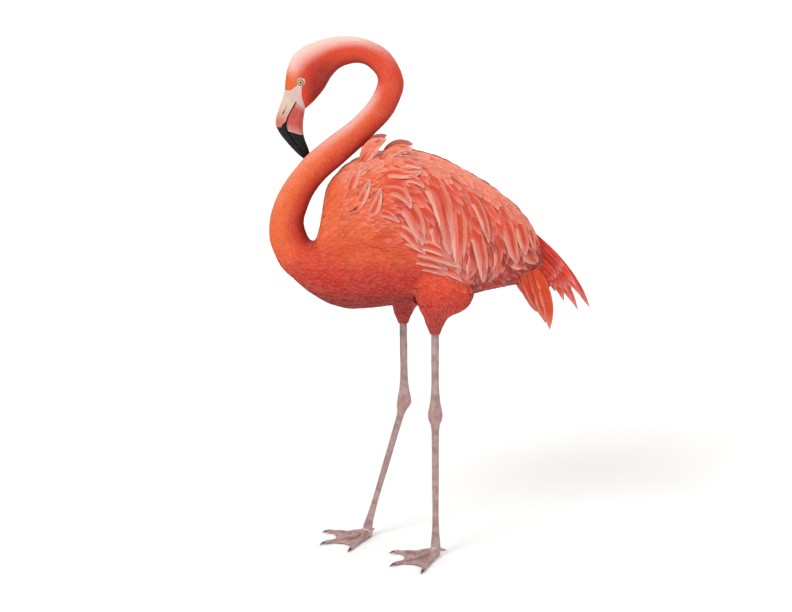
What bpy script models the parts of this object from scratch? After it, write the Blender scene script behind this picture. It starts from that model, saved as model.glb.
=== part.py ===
"""An adult American flamingo standing with its neck in an S: a life-size still model.

The bird faces -X, its left side is towards -Y, and its feet stand on Z = 0. The head, neck and trunk are
lengths of one loft. Its cross-sections stand between two lines: the back line, from the forehead over
the crown, nape and back to the rump, and the keel line, from the chin down the throat and breast to
the vent. The bill, thighs, legs, feet, wings and tail are built against that loft, and neighbouring
pieces keep a gap of GAP.
"""

import math
from collections import namedtuple

import bmesh
import bpy
import numpy as np

# Driving dimensions, in metres
CM = 0.01
GAP = 0.0003
EYE_RADIUS = 0.0062
EYE_SUNK = 0.0042  # from the side of the head in to the eye's centre
ANKLE_HEIGHT = 0.289
BOOT_HEIGHT = 0.461  # where the feathers of the thigh end
FLOOR = -0.015  # the floor, in the heights used below
TARSUS_END = 0.026  # height of the joint between tarsus and toes, above the floor
MIDDLE_TOE = 0.101
TOE_SPREAD = math.radians(40)
WING_THICKNESS = 0.0135
EDGE_THICKNESS = 0.0014  # of a wing or tail feather at its edge

# Points round a cross-section
AROUND_NECK = 14
AROUND_TRUNK = 22
AROUND_LEG = 10

LEFT, RIGHT = -1, 1  # which way along Y
SIDES = (("left", LEFT), ("right", RIGHT))

# A cross-section of the body, in centimetres. widest is where it is widest, from 0 at the keel to 1 at
# the back. fullness is 2 for an ellipse, and more for a squarer section.
Station = namedtuple("Station", "back_x back_z keel_x keel_z half_width side widest fullness")
BODY = [
    # the head, from the base of the bill to the nape
    Station(-28.6, 93.8, -24.6, 90.1, 1.60, 2.0, 0.50, 2.2),
    Station(-28.4, 96.0, -23.2, 91.3, 2.15, 2.0, 0.50, 2.2),
    Station(-27.9, 98.3, -21.8, 92.8, 2.45, 2.0, 0.50, 2.1),
    Station(-26.8, 100.6, -20.7, 94.2, 2.55, 2.0, 0.50, 2.1),
    Station(-24.9, 102.2, -20.0, 95.4, 2.52, 2.0, 0.50, 2.0),
    # the neck, over the top of its loop and down to the breast
    Station(-22.5, 103.2, -19.3, 96.5, 2.50, 2.0, 0.50, 2.0),
    Station(-19.7, 104.0, -17.8, 98.0, 2.40, 1.9, 0.50, 2.0),
    Station(-16.4, 104.3, -15.7, 98.9, 2.35, 1.6, 0.50, 2.0),
    Station(-12.6, 103.8, -13.3, 99.0, 2.30, 1.2, 0.50, 2.0),
    Station(-8.0, 101.3, -11.2, 97.7, 2.30, 0.7, 0.50, 2.0),
    Station(-5.1, 95.8, -10.2, 95.7, 2.35, 0.1, 0.50, 2.0),
    Station(-6.6, 90.4, -11.4, 92.6, 2.45, -0.4, 0.50, 2.0),
    Station(-11.2, 85.0, -15.0, 88.5, 2.55, -0.8, 0.50, 2.0),
    Station(-16.4, 80.2, -20.1, 84.6, 2.75, -1.0, 0.50, 2.0),
    Station(-21.1, 76.0, -25.4, 80.0, 2.85, -0.9, 0.50, 2.0),
    Station(-24.2, 70.8, -30.9, 71.6, 3.20, -0.6, 0.50, 2.0),
    Station(-25.0, 67.4, -32.0, 66.6, 3.40, -0.3, 0.50, 2.0),
    Station(-23.5, 64.0, -31.2, 61.8, 3.80, -0.1, 0.50, 2.0),
    # the trunk, from the breast to the tail
    Station(-22.2, 64.4, -29.3, 58.2, 5.0, 0.0, 0.50, 2.0),
    Station(-21.4, 66.4, -27.1, 56.2, 6.4, 0.0, 0.50, 2.0),
    Station(-21.2, 70.2, -24.4, 53.8, 7.8, 0.0, 0.50, 2.0),
    Station(-20.6, 74.2, -20.8, 51.6, 8.9, 0.0, 0.50, 2.0),
    Station(-17.8, 78.2, -16.8, 50.3, 9.7, 0.0, 0.50, 2.0),
    Station(-13.2, 80.9, -12.2, 50.3, 10.0, 0.0, 0.51, 2.0),
    Station(-6.8, 82.1, -6.8, 50.9, 10.0, 0.0, 0.52, 2.0),
    Station(0.4, 81.2, -0.8, 51.4, 9.6, 0.0, 0.53, 2.0),
    Station(7.4, 77.9, 5.4, 52.4, 8.6, 0.0, 0.54, 2.0),
    Station(13.8, 73.9, 11.4, 53.8, 7.0, 0.0, 0.55, 2.0),
    Station(18.7, 69.4, 16.8, 54.9, 4.8, 0.0, 0.55, 2.0),
    Station(21.6, 64.9, 21.4, 55.8, 3.0, 0.0, 0.52, 2.0),
    Station(23.4, 60.0, 23.6, 56.8, 1.2, 0.0, 0.50, 2.0),
]

# Lengths of the body: node, first station, last station, steps between them, points round it
LENGTHS = [
    ("head", 0, 5, 10, AROUND_NECK),
    ("neck_top", 5, 8, 9, AROUND_NECK),
    ("neck_bend", 8, 11, 11, AROUND_NECK),
    ("neck_middle", 11, 14, 9, AROUND_NECK),
    ("neck_base", 14, 17, 9, AROUND_NECK),
    ("breast", 17, 22, 9, AROUND_TRUNK),
    ("trunk", 22, 27, 8, AROUND_TRUNK),
    ("rump", 27, 30, 6, AROUND_TRUNK),
]
TRUNK_LENGTHS = LENGTHS[5:]

# The bill, from its base to its tip, in centimetres: the ridge of the upper bill, the line where the
# two halves meet, the lower edge of the lower bill, and the half width of each half
BillStation = namedtuple("BillStation", "ridge_x ridge_z meet_x meet_z under_x under_z upper lower")
BILL = [
    BillStation(-28.6, 93.8, -26.25, 91.55, -24.6, 90.1, 1.52, 1.48),
    BillStation(-29.2, 91.9, -26.9, 90.5, -24.75, 89.2, 1.48, 1.58),
    BillStation(-29.85, 90.1, -27.6, 89.3, -24.9, 88.1, 1.46, 1.64),
    BillStation(-30.4, 88.4, -28.1, 88.1, -25.0, 86.9, 1.44, 1.62),
    BillStation(-30.5, 87.0, -28.35, 87.0, -25.0, 85.8, 1.38, 1.54),
    BillStation(-29.9, 85.6, -28.1, 85.8, -24.9, 84.8, 1.26, 1.42),
    BillStation(-28.6, 83.8, -27.2, 84.3, -24.5, 83.5, 1.04, 1.18),
    BillStation(-27.2, 82.2, -26.1, 82.8, -24.05, 82.3, 0.82, 0.92),
    BillStation(-26.0, 81.0, -25.2, 81.5, -23.8, 81.2, 0.56, 0.62),
    BillStation(-25.0, 80.2, -24.6, 80.5, -24.0, 80.4, 0.28, 0.28),
]

EYE = (-25.3, 95.4)  # the eye's centre in side view, in centimetres
EYE_STATION = 1.5

# The lower edge of a folded wing: (station of the body, degrees round it from the back)
WING_EDGE = [(21.3, 74), (22.5, 88), (24, 104), (25, 116), (26, 130), (27, 146), (27.7, 134),
             (28.3, 112), (29.0, 84), (29.3, 70)]
WING_TOP = 13  # degrees from the back to the upper edge of a wing
WING_FEATHERS = 10  # tips along the lower edge

# Principled BSDF settings: colour, roughness
COLOURS = {
    "plumage": ((0.72, 0.13, 0.06), 0.75),
    "wing": ((0.80, 0.24, 0.16), 0.70),
    "flight_feather": ((0.66, 0.10, 0.05), 0.65),
    "bill_pale": ((0.86, 0.66, 0.55), 0.35),
    "bill_rose": ((0.70, 0.22, 0.18), 0.35),
    "eye": ((0.80, 0.62, 0.25), 0.10),
    "leg_skin": ((0.52, 0.36, 0.34), 0.55),
    "claw": ((0.06, 0.05, 0.05), 0.30),
}


def material(name):
    colour, roughness = COLOURS[name]
    made = bpy.data.materials.get(name) or bpy.data.materials.new(name)
    made.use_nodes = True
    shader = made.node_tree.nodes["Principled BSDF"]
    shader.inputs["Base Color"].default_value = (*colour, 1.0)
    shader.inputs["Roughness"].default_value = roughness
    return made


class Curve:
    """A smooth curve through the rows of a table, read by row number."""

    def __init__(self, rows, spacing_of):
        self.rows = np.array(rows, float)
        points = np.array([spacing_of(row) for row in rows], float)
        steps = np.linalg.norm(np.diff(points, axis=0), axis=1)
        self.along = np.concatenate([[0.0], np.cumsum(steps)])
        self.slopes = self._slopes()

    def _slopes(self):
        gaps = np.diff(self.along)[:, None]
        rates = np.diff(self.rows, axis=0) / gaps
        inner = (rates[:-1] * gaps[1:] + rates[1:] * gaps[:-1]) / (gaps[:-1] + gaps[1:])
        return np.concatenate([rates[:1], inner, rates[-1:]])

    def at(self, number):
        i = min(max(int(number), 0), len(self.rows) - 2)
        f = number - i
        span = self.along[i + 1] - self.along[i]
        start, end = self.rows[i], self.rows[i + 1]
        out, into = self.slopes[i] * span, self.slopes[i + 1] * span
        return (
            start * (2 * f**3 - 3 * f**2 + 1)
            + out * (f**3 - 2 * f**2 + f)
            + end * (3 * f**2 - 2 * f**3)
            + into * (f**3 - f**2)
        )


def middle_of(station):
    """The middle of a cross-section in side view."""
    return ((station.back_x + station.keel_x) / 2, (station.back_z + station.keel_z) / 2)


BODY_CURVE = Curve(BODY, middle_of)


def section_point(top, bottom, half_width, side, widest, fullness, angle, out=0.0):
    """A point on a cross-section that stands between two side-view points, angle round from the top."""
    height = math.hypot(top[0] - bottom[0], top[1] - bottom[1])
    up = ((top[0] - bottom[0]) / height, (top[1] - bottom[1]) / height)
    level = widest * height
    reach = height - level if math.cos(angle) > 0 else level
    power = 2 / fullness
    rise = math.copysign(abs(math.cos(angle)) ** power, math.cos(angle)) * (reach + out)
    across = math.copysign(abs(math.sin(angle)) ** power, math.sin(angle)) * (half_width + out)
    return (bottom[0] + up[0] * (level + rise), side - across, bottom[1] + up[1] * (level + rise))


def body_point(number, angle, out=0.0):
    """A point on the body. Angle 0 is the back, a quarter turn is the left side, and a half turn the keel."""
    s = BODY_CURVE.at(number) * CM
    widest, fullness = s[6] / CM, s[7] / CM
    return section_point((s[0], s[1]), (s[2], s[3]), s[4], s[5], widest, fullness, angle, out)


def body_ring(number, around, out=0.0, forward=0.0):
    """A whole cross-section of the body, moved forward along the body by that much."""
    s = BODY_CURVE.at(number) * CM
    height = math.hypot(s[0] - s[2], s[1] - s[3])
    ahead = np.array([-(s[1] - s[3]), 0.0, s[0] - s[2]]) / height * -forward
    turns = [2 * math.pi * k / around for k in range(around)]
    return [np.array(body_point(number, a, out)) + ahead for a in turns]


def solid(name, points, faces, look, smooth=True):
    """An object of one closed mesh, its faces turned outwards."""
    mesh = bpy.data.meshes.new(name)
    mesh.from_pydata([tuple(p) for p in points], [], faces)
    made = bmesh.new()
    made.from_mesh(mesh)
    bmesh.ops.recalc_face_normals(made, faces=made.faces)
    if made.calc_volume(signed=True) < 0:
        bmesh.ops.reverse_faces(made, faces=made.faces)
    made.to_mesh(mesh)
    made.free()
    mesh.materials.append(material(look))
    if smooth:
        mesh.shade_smooth()
        mesh.set_sharp_from_angle(angle=math.radians(50))
    obj = bpy.data.objects.new(name, mesh)
    bpy.context.scene.collection.objects.link(obj)
    return obj


def loft(name, rings, look):
    """A solid through cross-sections of equal count, with flat ends."""
    around = len(rings[0])
    points = [p for ring in rings for p in ring]
    faces = []
    for r in range(len(rings) - 1):
        for k in range(around):
            a, b = r * around + k, r * around + (k + 1) % around
            faces += [(a, b, b + around), (a, b + around, a + around)]
    last = (len(rings) - 1) * around
    faces.append(tuple(range(around)))
    faces.append(tuple(range(last, last + around)))
    return solid(name, points, faces, look)


def plate(name, outer, inner, look):
    """A solid between two grids of points of the same size, closed round their edges."""
    rows, columns = len(outer), len(outer[0])
    points = [p for grid in (outer, inner) for row in grid for p in row]
    under = rows * columns
    faces = []
    for r in range(rows - 1):
        for c in range(columns - 1):
            a = r * columns + c
            quad = (a, a + 1, a + columns + 1, a + columns)
            faces.append(quad)
            faces.append(tuple(under + v for v in reversed(quad)))
    rim = [c for c in range(columns)]
    rim += [r * columns + columns - 1 for r in range(1, rows)]
    rim += [(rows - 1) * columns + c for c in range(columns - 2, -1, -1)]
    rim += [r * columns for r in range(rows - 2, 0, -1)]
    for a, b in zip(rim, rim[1:] + rim[:1]):
        faces.append((b, a, under + a, under + b))
    return solid(name, points, faces, look)


def thickened(name, grid, thickness, look):
    """A plate whose middle surface is a grid of points. thickness is a number for each point."""
    grid = np.array(grid, float)
    along = np.gradient(grid, axis=0)
    across = np.gradient(grid, axis=1)
    normal = np.cross(along, across)
    normal /= np.linalg.norm(normal, axis=2, keepdims=True)
    half = np.array(thickness, float)[..., None] / 2
    return plate(name, grid + normal * half, grid - normal * half, look)


def as_tool(obj):
    """Makes an object a tool of Booleans, which isn't part of the bird."""
    obj.hide_render = True
    obj.display_type = "WIRE"
    return obj


def combine(obj, tool, operation):
    modifier = obj.modifiers.new(operation.lower(), "BOOLEAN")
    modifier.operation = operation
    modifier.solver = "EXACT"
    modifier.object = as_tool(tool)


def bezier(points, f):
    """A point along a quadratic curve of three control points."""
    a, b, c = (np.array(p, float) for p in points)
    return a * (1 - f) ** 2 + b * 2 * f * (1 - f) + c * f**2


def make_body():
    for name, first, last, steps, around in LENGTHS:
        rings = []
        for k in range(steps + 1):
            forward = GAP / 2 if k == 0 else -GAP / 2 if k == steps else 0.0
            rings.append(body_ring(first + (last - first) * k / steps, around, 0.0, forward))
        made = loft(name, rings, "plumage")
        if name == "head":
            for _, side in SIDES:
                combine(made, ball("socket", eye_centre(side), EYE_RADIUS + GAP, "eye"), "DIFFERENCE")


def make_body_tool():
    """The whole trunk, grown by the gap that other pieces keep from it."""
    numbers = [
        first + (last - first) * k / steps
        for _, first, last, steps, _ in TRUNK_LENGTHS
        for k in range(steps + (last == TRUNK_LENGTHS[-1][2]))
    ]
    return as_tool(loft("body_tool", [body_ring(n, AROUND_TRUNK, GAP) for n in numbers], "plumage"))


def eye_centre(side):
    s = BODY_CURVE.at(EYE_STATION) * CM
    return (EYE[0] * CM, s[5] + side * (s[4] - EYE_SUNK), EYE[1] * CM)


def ball(name, centre, radius, look):
    made = bmesh.new()
    bmesh.ops.create_icosphere(made, subdivisions=2, radius=radius)
    points = [tuple(np.array(v.co) + centre) for v in made.verts]
    faces = [tuple(v.index for v in f.verts) for f in made.faces]
    made.free()
    return solid(name, points, faces, look)


def make_eyes():
    for word, side in SIDES:
        ball(f"eye_{word}", eye_centre(side), EYE_RADIUS, "eye")


def make_bill():
    curve = Curve(BILL, lambda row: (row.meet_x, row.meet_z))
    side = BODY[0].side * CM
    halves = (
        ("upper_bill", (0, 1), (2, 3), 6, 0.10, 2.3, "bill_pale"),
        ("lower_bill", (2, 3), (4, 5), 7, 0.84, 2.3, "bill_rose"),
    )
    steps = 16
    turns = [2 * math.pi * k / 10 for k in range(10)]
    for name, top, bottom, width, widest, fullness, look in halves:
        rings = []
        for k in range(steps + 1):
            s = curve.at((len(BILL) - 1) * k / steps) * CM
            high = np.array([s[top[0]], s[top[1]]])
            low = np.array([s[bottom[0]], s[bottom[1]]])
            apart = (high - low) / np.linalg.norm(high - low) * GAP / 2
            if name == "upper_bill":
                low = low + apart
            else:
                high = high - apart
            ring = [section_point(high, low, s[width], side, widest, fullness, a) for a in turns]
            rings.append([np.array(p) for p in ring])
        # the base stands clear of the head
        clear = np.array([-1.0, 0.0, -1.0]) / math.sqrt(2) * GAP * 1.5
        rings[0] = [p + clear for p in rings[0]]
        loft(name, rings, look)


def wing_edge_angle(number):
    """How far round the body a wing reaches at that station, in radians."""
    places, degrees = zip(*WING_EDGE)
    return math.radians(np.interp(number, places, degrees))


def cut_by_wing(obj, side):
    combine(obj, plate("wing_tool", *wing_grids(side, GAP), "wing"), "DIFFERENCE")


def wing_grids(side, grow=0.0):
    """The outer and inner surface of a folded wing, as grids along and round the body."""
    first, last = WING_EDGE[0][0], WING_EDGE[-1][0]
    per_feather = 3
    columns = WING_FEATHERS * per_feather
    rows = 5
    outer, inner = [], []
    for c in range(columns + 1):
        along = c / columns
        number = first + (last - first) * along
        # each feather ends in a rounded point
        phase = (c % per_feather) / per_feather
        tip = math.sin(math.pi * phase) ** 0.7 * math.radians(4 + 7 * along)
        low = wing_edge_angle(number) - math.radians(8) + tip + grow * 8
        high = math.radians(WING_TOP) - grow * 8
        ends = math.sin(math.pi * min(max(along, 0.02), 0.98)) ** 0.4
        outer.append([])
        inner.append([])
        for r in range(rows + 1):
            down = r / rows
            angle = (high + (low - high) * down) * -side
            swell = math.sin(math.pi * min(max(down, 0.0), 1.0)) ** 0.6
            thick = EDGE_THICKNESS + (WING_THICKNESS - EDGE_THICKNESS) * swell * ends
            inner[-1].append(body_point(number, angle, -0.005))
            outer[-1].append(body_point(number, angle, GAP + thick + grow))
    return outer, inner


# Plumes that stand up from the shoulders: the station and degrees round the body of the root, the bend
# and the tip in side view in centimetres, and the half width
SHOULDER_PLUMES = ((22.95, 24, (-12.0, 83.8), (-8.5, 84.7), 1.25), (23.6, 26, (-7.0, 83.9), (-3.2, 82.8), 0.8))


def shoulder_plumes(side):
    """The plumes of one side, as tools to join to its wing."""
    rows = 5
    made = []
    for number, degrees, bend, tip, half_width in SHOULDER_PLUMES:
        start = body_point(number, math.radians(degrees) * -side, 0.0035)
        root = (start[0] / CM, start[2] / CM)
        grid, thickness = [], []
        for r in range(rows + 1):
            f = r / rows
            at = bezier((root, bend, tip), f)
            ahead = bezier((root, bend, tip), f + 0.01) - at
            ahead /= np.linalg.norm(ahead)
            wide = half_width * math.sin(math.pi * (0.06 + 0.90 * f)) ** 0.7
            grid.append([])
            for across in (-1.0, 0.0, 1.0):
                x = at[0] - ahead[1] * across * wide
                z = at[1] + ahead[0] * across * wide
                grid[-1].append((x * CM, start[1] + side * (0.4 * f + 0.2 * abs(across)) * CM, z * CM))
            thickness.append([0.002] * 3)
        made.append(thickened("plume_tool", grid, thickness, "wing"))
    return made


def make_wings(body_tool):
    for word, side in SIDES:
        wing = plate(f"wing_{word}", *wing_grids(side), "wing")
        combine(wing, body_tool, "DIFFERENCE")
        for plume in shoulder_plumes(side):
            combine(wing, plume, "UNION")


# The tips of a folded wing's flight feathers, in side view in centimetres, from the top one down, with
# the notches between them
PRIMARY_ENDS = [
    (32.6, 50.4), (31.0, 52.6), (30.2, 49.9), (28.9, 51.6), (27.3, 51.9), (25.4, 53.8), (24.2, 54.7)
]
PRIMARY_ROOTS = ((19.6, 66.2), (22.0, 57.0))
PRIMARY_BENDS = ((27.9, 59.3), (24.4, 56.0))
PRIMARY_SIDE = ((0.5, 2.6), (0.3, 1.4))  # from the bird's middle, top and bottom, at roots and at tips


def make_primaries(body_tool):
    rows, columns = 6, len(PRIMARY_ENDS)
    for word, side in SIDES:
        grid, thickness = [], []
        for c in range(columns):
            down = c / (columns - 1)
            root = np.array(PRIMARY_ROOTS[0]) * (1 - down) + np.array(PRIMARY_ROOTS[1]) * down
            bend = np.array(PRIMARY_BENDS[0]) * (1 - down) + np.array(PRIMARY_BENDS[1]) * down
            grid.append([])
            thickness.append([])
            for r in range(rows + 1):
                f = r / rows
                x, z = bezier((root, bend, PRIMARY_ENDS[c]), f) * CM
                at_root, at_tip = (a * (1 - down) + b * down for a, b in PRIMARY_SIDE)
                y = side * (at_root * (1 - f) + at_tip * f) * CM
                grid[-1].append((x, y, z))
                thickness[-1].append(0.004 * (1 - f) + EDGE_THICKNESS * f)
        made = thickened(f"primaries_{word}", grid, thickness, "flight_feather")
        combine(made, body_tool, "DIFFERENCE")
        cut_by_wing(made, side)


# The tail, in side view in centimetres: control points of its rear edge, where its middle feathers lie,
# and of its front edge, where the outer ones lie
TAIL_REAR = ((22.6, 58.4), (25.1, 52.0), (24.6, 45.8))
TAIL_FRONT = ((15.8, 58.2), (19.2, 51.6), (23.2, 46.6))
TAIL_HALF_WIDTH = (2.9, 1.3)  # at its root and at its tip
TAIL_FEATHERS = 7


def make_tail(body_tool):
    rows = 5
    grid, thickness = [], []
    for c in range(2 * TAIL_FEATHERS + 1):
        around = math.radians(-84 + 168 * c / (2 * TAIL_FEATHERS))
        length = 1 - 0.30 * (around / math.radians(84)) ** 2
        if c % 2 == 0:
            length -= 0.09  # the notch between two feathers
        grid.append([])
        thickness.append([])
        for r in range(rows + 1):
            f = r / rows * length
            rear, front = bezier(TAIL_REAR, f), bezier(TAIL_FRONT, f)
            x, z = (front + (rear - front) * math.cos(around)) * CM
            y = math.sin(around) * (TAIL_HALF_WIDTH[0] * (1 - f) + TAIL_HALF_WIDTH[1] * f) * CM
            grid[-1].append((x, y, z))
            thickness[-1].append(0.004 * (1 - f) + EDGE_THICKNESS * f)
    made = thickened("tail", grid, thickness, "flight_feather")
    combine(made, body_tool, "DIFFERENCE")


# A feathered thigh, from its top to the end of the boot above the bare leg, in centimetres: height,
# how far its middle is behind the leg, half length, how far its middle is outside the leg, half width
THIGH = [
    (60.5, 0.9, 4.2, -1.0, 2.6),
    (58.0, 1.5, 5.4, 0.2, 3.4),
    (55.5, 1.8, 5.7, 0.8, 3.6),
    (53.2, 1.8, 5.5, 0.9, 3.5),
    (51.7, 1.6, 4.9, 0.9, 3.2),
    (50.6, 1.0, 3.9, 0.7, 2.8),
    (49.8, 0.4, 2.8, 0.5, 2.2),
    (48.0, 0.0, 1.85, 0.1, 1.6),
    (46.1, 0.0, 1.05, 0.0, 0.95),
]


# Where each leg's boot ends, its ankle and its foot, along and across the body, in metres. The feet stand
# a little to the right of the body, so that its weight lies well inside them.
LEG_LINE = {
    LEFT: ((0.0120, -0.0500), (0.0135, -0.0465), (0.0160, -0.0420)),
    RIGHT: ((-0.0510, 0.0500), (-0.0485, 0.0570), (-0.1265, 0.0660)),
}


def make_thighs(body_tool):
    curve = Curve(THIGH, lambda row: (row[0], row[1]))
    for word, side in SIDES:
        rings = []
        steps = 12
        for k in range(steps + 1):
            height, behind, half_length, outside, half_width = curve.at(k / steps * (len(THIGH) - 1)) * CM
            x = LEG_LINE[side][0][0] + behind
            y = LEG_LINE[side][0][1] + side * outside
            turns = [2 * math.pi * n / 12 for n in range(12)]
            rings.append(
                [np.array([x + math.cos(a) * half_length, y + math.sin(a) * half_width, height]) for a in turns]
            )
        made = loft(f"thigh_{word}", rings, "plumage")
        combine(made, body_tool, "DIFFERENCE")
        cut_by_wing(made, side)


# The bare leg: (how far along it, half length fore and aft, half width) in centimetres
SHANK = [
    (0.00, 0.76, 0.64),
    (0.35, 0.75, 0.62),
    (0.60, 0.74, 0.60),
    (0.74, 0.84, 0.70),
    (0.87, 1.10, 0.88),
    (0.95, 1.38, 1.02),
    (1.00, 1.47, 1.08),
]
TARSUS = [
    (0.000, 1.47, 1.08),
    (0.030, 1.36, 1.00),
    (0.065, 0.98, 0.80),
    (0.100, 0.80, 0.64),
    (0.200, 0.72, 0.58),
    (0.500, 0.68, 0.55),
    (0.880, 0.70, 0.57),
    (0.950, 0.82, 0.66),
    (1.000, 0.98, 0.78),
]


def ankle(side):
    return np.array([*LEG_LINE[side][1], ANKLE_HEIGHT])


def foot_top(side):
    """Where the tarsus meets the toes."""
    return np.array([*LEG_LINE[side][2], FLOOR + TARSUS_END])


def limb(name, start, end, profile, per_row, look):
    """A length of leg between two points, each cross-section level."""
    curve = Curve(profile, lambda row: (row[0] * 25, row[1]))
    rings = []
    for k in range((len(profile) - 1) * per_row + 1):
        f, long_way, wide = curve.at(k / per_row)
        centre = start + (end - start) * min(max(f, 0.0), 1.0)
        turns = [2 * math.pi * n / AROUND_LEG for n in range(AROUND_LEG)]
        rings.append([centre + np.array([math.cos(a) * long_way, math.sin(a) * wide, 0.0]) * CM for a in turns])
    return loft(name, rings, look)


def make_legs():
    down = np.array([0.0, 0.0, GAP])
    for word, side in SIDES:
        boot = np.array([*LEG_LINE[side][0], BOOT_HEIGHT])
        limb(f"shank_{word}", boot - down, ankle(side) + down / 2, SHANK, 1, "leg_skin")
        limb(f"tarsus_{word}", ankle(side) - down / 2, foot_top(side) + down / 2, TARSUS, 1, "leg_skin")


# The toes: name, share of the middle toe's length, share of TOE_SPREAD outwards
TOES = (("inner", 0.85, -1.0), ("middle", 1.0, 0.0), ("outer", 0.90, 1.0))
FOOT_YAW = {LEFT: math.radians(32), RIGHT: math.radians(-26)}  # how far the middle toe points outwards
TOE_BASE_HEIGHT = 0.0125
WEB_THICKNESS = 0.0013


def toe_direction(side, share):
    turn = FOOT_YAW[side] + TOE_SPREAD * share
    return np.array([-math.cos(turn), side * math.sin(turn), 0.0])


def toe_path(length, f):
    """How far out and how high the middle of a toe is, f of the way along it."""
    return length * f, 0.0042 + (TOE_BASE_HEIGHT - 0.0042) * (1 - f) ** 4


def toe_rings(base, direction, length, around=6):
    """Cross-sections of a toe with its joints, flat where it stands on the floor."""
    sideways = np.array([-direction[1], direction[0], 0.0])
    rings = []
    steps = 6
    for k in range(steps + 1):
        f = k / steps
        far, high = toe_path(length, f)
        joint = 1 + 0.10 * math.cos(f * 6 * math.pi)
        half_height = (0.0078 * (1 - f) ** 3 + 0.0044) * joint
        half_width = (0.0052 * (1 - f) ** 2 + 0.0038) * joint
        ring = []
        for n in range(around):
            a = 2 * math.pi * (n + 0.5) / around
            p = base + direction * far + sideways * math.cos(a) * half_width
            p = p + np.array([0.0, 0.0, high + math.sin(a) * half_height])
            p[2] = max(p[2], FLOOR)
            ring.append(p)
        rings.append(ring)
    return rings


def claw_rings(base, direction, length, thick, fall):
    """Cross-sections of a claw, whose tip is lower than its root by fall."""
    sideways = np.array([-direction[1], direction[0], 0.0])
    rings = []
    for k in range(4):
        f = k / 3
        size = thick * (1 - 0.86 * f)
        far, high = length * f, base[2] - FLOOR + thick * 0.5 * f * (1 - f) - fall * f**1.6
        ring = []
        for n in range(5):
            a = 2 * math.pi * (n + 0.25) / 5
            p = np.array([base[0], base[1], FLOOR]) + direction * far + sideways * math.cos(a) * size * 0.8
            p = p + np.array([0.0, 0.0, max(high + math.sin(a) * size, 0.0)])
            ring.append(p)
        rings.append(ring)
    return rings


def web_grids(base, first, second):
    """The skin between two toes, each a (direction, length)."""
    rows, columns = 4, 6
    upper, lower = [], []
    for c in range(columns):
        across = c / (columns - 1)
        direction = first[0] * (1 - across) + second[0] * across
        direction /= np.linalg.norm(direction)
        length = first[1] * (1 - across) + second[1] * across
        reach = length * (0.90 - 0.20 * math.sin(math.pi * across) ** 0.8)
        upper.append([])
        lower.append([])
        for r in range(rows):
            out = 0.006 + (reach - 0.006) * r / (rows - 1)
            high = 0.0030 + 0.0125 * max(0.0, 1 - out / 0.045) ** 2
            p = base + direction * out
            upper[-1].append(p + np.array([0.0, 0.0, high]))
            lower[-1].append(p + np.array([0.0, 0.0, high - WEB_THICKNESS]))
    return upper, lower


def make_foot(word, side):
    top = foot_top(side) - np.array([0.0, 0.0, GAP / 2])
    base = np.array([top[0], top[1], FLOOR])
    # the joint that carries the toes
    heights = ((TARSUS_END - GAP / 2, 0.94, 0.76), (0.018, 1.08, 0.92), (0.009, 1.05, 0.95), (0.0, 0.80, 0.76))
    turns = [2 * math.pi * n / 10 for n in range(10)]
    rings = []
    for z, long_way, wide in heights:
        ring = [base + np.array([math.cos(a) * long_way * CM, math.sin(a) * wide * CM, z]) for a in turns]
        rings.append(ring)
    foot = loft(f"foot_{word}", rings, "leg_skin")
    toes = [(name, toe_direction(side, turn), MIDDLE_TOE * share) for name, share, turn in TOES]
    for name, direction, length in toes:
        combine(foot, loft("toe_tool", toe_rings(base, direction, length), "leg_skin"), "UNION")
        end_height = toe_path(length, 1.0)[1]
        start = base + direction * (length + GAP) + np.array([0.0, 0.0, end_height])
        loft(f"claw_{word}_{name}", claw_rings(start, direction, 0.0115, 0.0036, 0.0036), "claw")
    for (_, d1, l1), (_, d2, l2) in zip(toes, toes[1:]):
        combine(foot, plate("web_tool", *web_grids(base, (d1, l1), (d2, l2)), "leg_skin"), "UNION")
    # the small hind toe, which hangs clear of the floor
    back = -toe_direction(side, -0.6)
    hind = [
        [base + back * far + np.array([-back[1], back[0], 0.0]) * math.cos(a) * size
         + np.array([0.0, 0.0, high + math.sin(a) * size]) for a in turns[::2]]
        for far, high, size in ((0.002, 0.0165, 0.0046), (0.010, 0.0145, 0.0040), (0.018, 0.0120, 0.0028))
    ]
    combine(foot, loft("hind_tool", hind, "leg_skin"), "UNION")
    start = base + back * (0.018 + GAP) + np.array([0.0, 0.0, 0.0120])
    loft(f"claw_{word}_hind", claw_rings(start, back, 0.0055, 0.0022, 0.0015), "claw")


def centre_on_floor():
    """Moves every mesh so that the bird's box is centred over the origin and its feet stand on Z = 0."""
    bpy.context.view_layer.update()
    graph = bpy.context.evaluated_depsgraph_get()
    shown = [o for o in bpy.data.objects if not o.hide_render]
    corners = []
    for obj in shown:
        mesh = obj.evaluated_get(graph).data
        found = np.empty(len(mesh.vertices) * 3, np.float32)
        mesh.vertices.foreach_get("co", found)
        corners += [found.reshape(-1, 3).min(axis=0), found.reshape(-1, 3).max(axis=0)]
    low, high = np.min(corners, axis=0), np.max(corners, axis=0)
    for obj in bpy.data.objects:
        obj.location = (-(low[0] + high[0]) / 2, -(low[1] + high[1]) / 2, -low[2])


def main():
    for obj in list(bpy.data.objects):
        bpy.data.objects.remove(obj)
    body_tool = make_body_tool()
    make_body()
    make_eyes()
    make_bill()
    make_wings(body_tool)
    make_primaries(body_tool)
    make_tail(body_tool)
    make_thighs(body_tool)
    make_legs()
    for word, side in SIDES:
        make_foot(word, side)
    centre_on_floor()


main()
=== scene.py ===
"""The looks of a standing American flamingo: one skin, its coat of feathers, bill, eyes, legs and claws.

Lengths are metres unless a table says centimetres. The bird faces -X with its left side towards -Y. Its
cross-sections repeat the construction's tables, and every finer shape is worked out from them.
"""

import math

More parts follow.
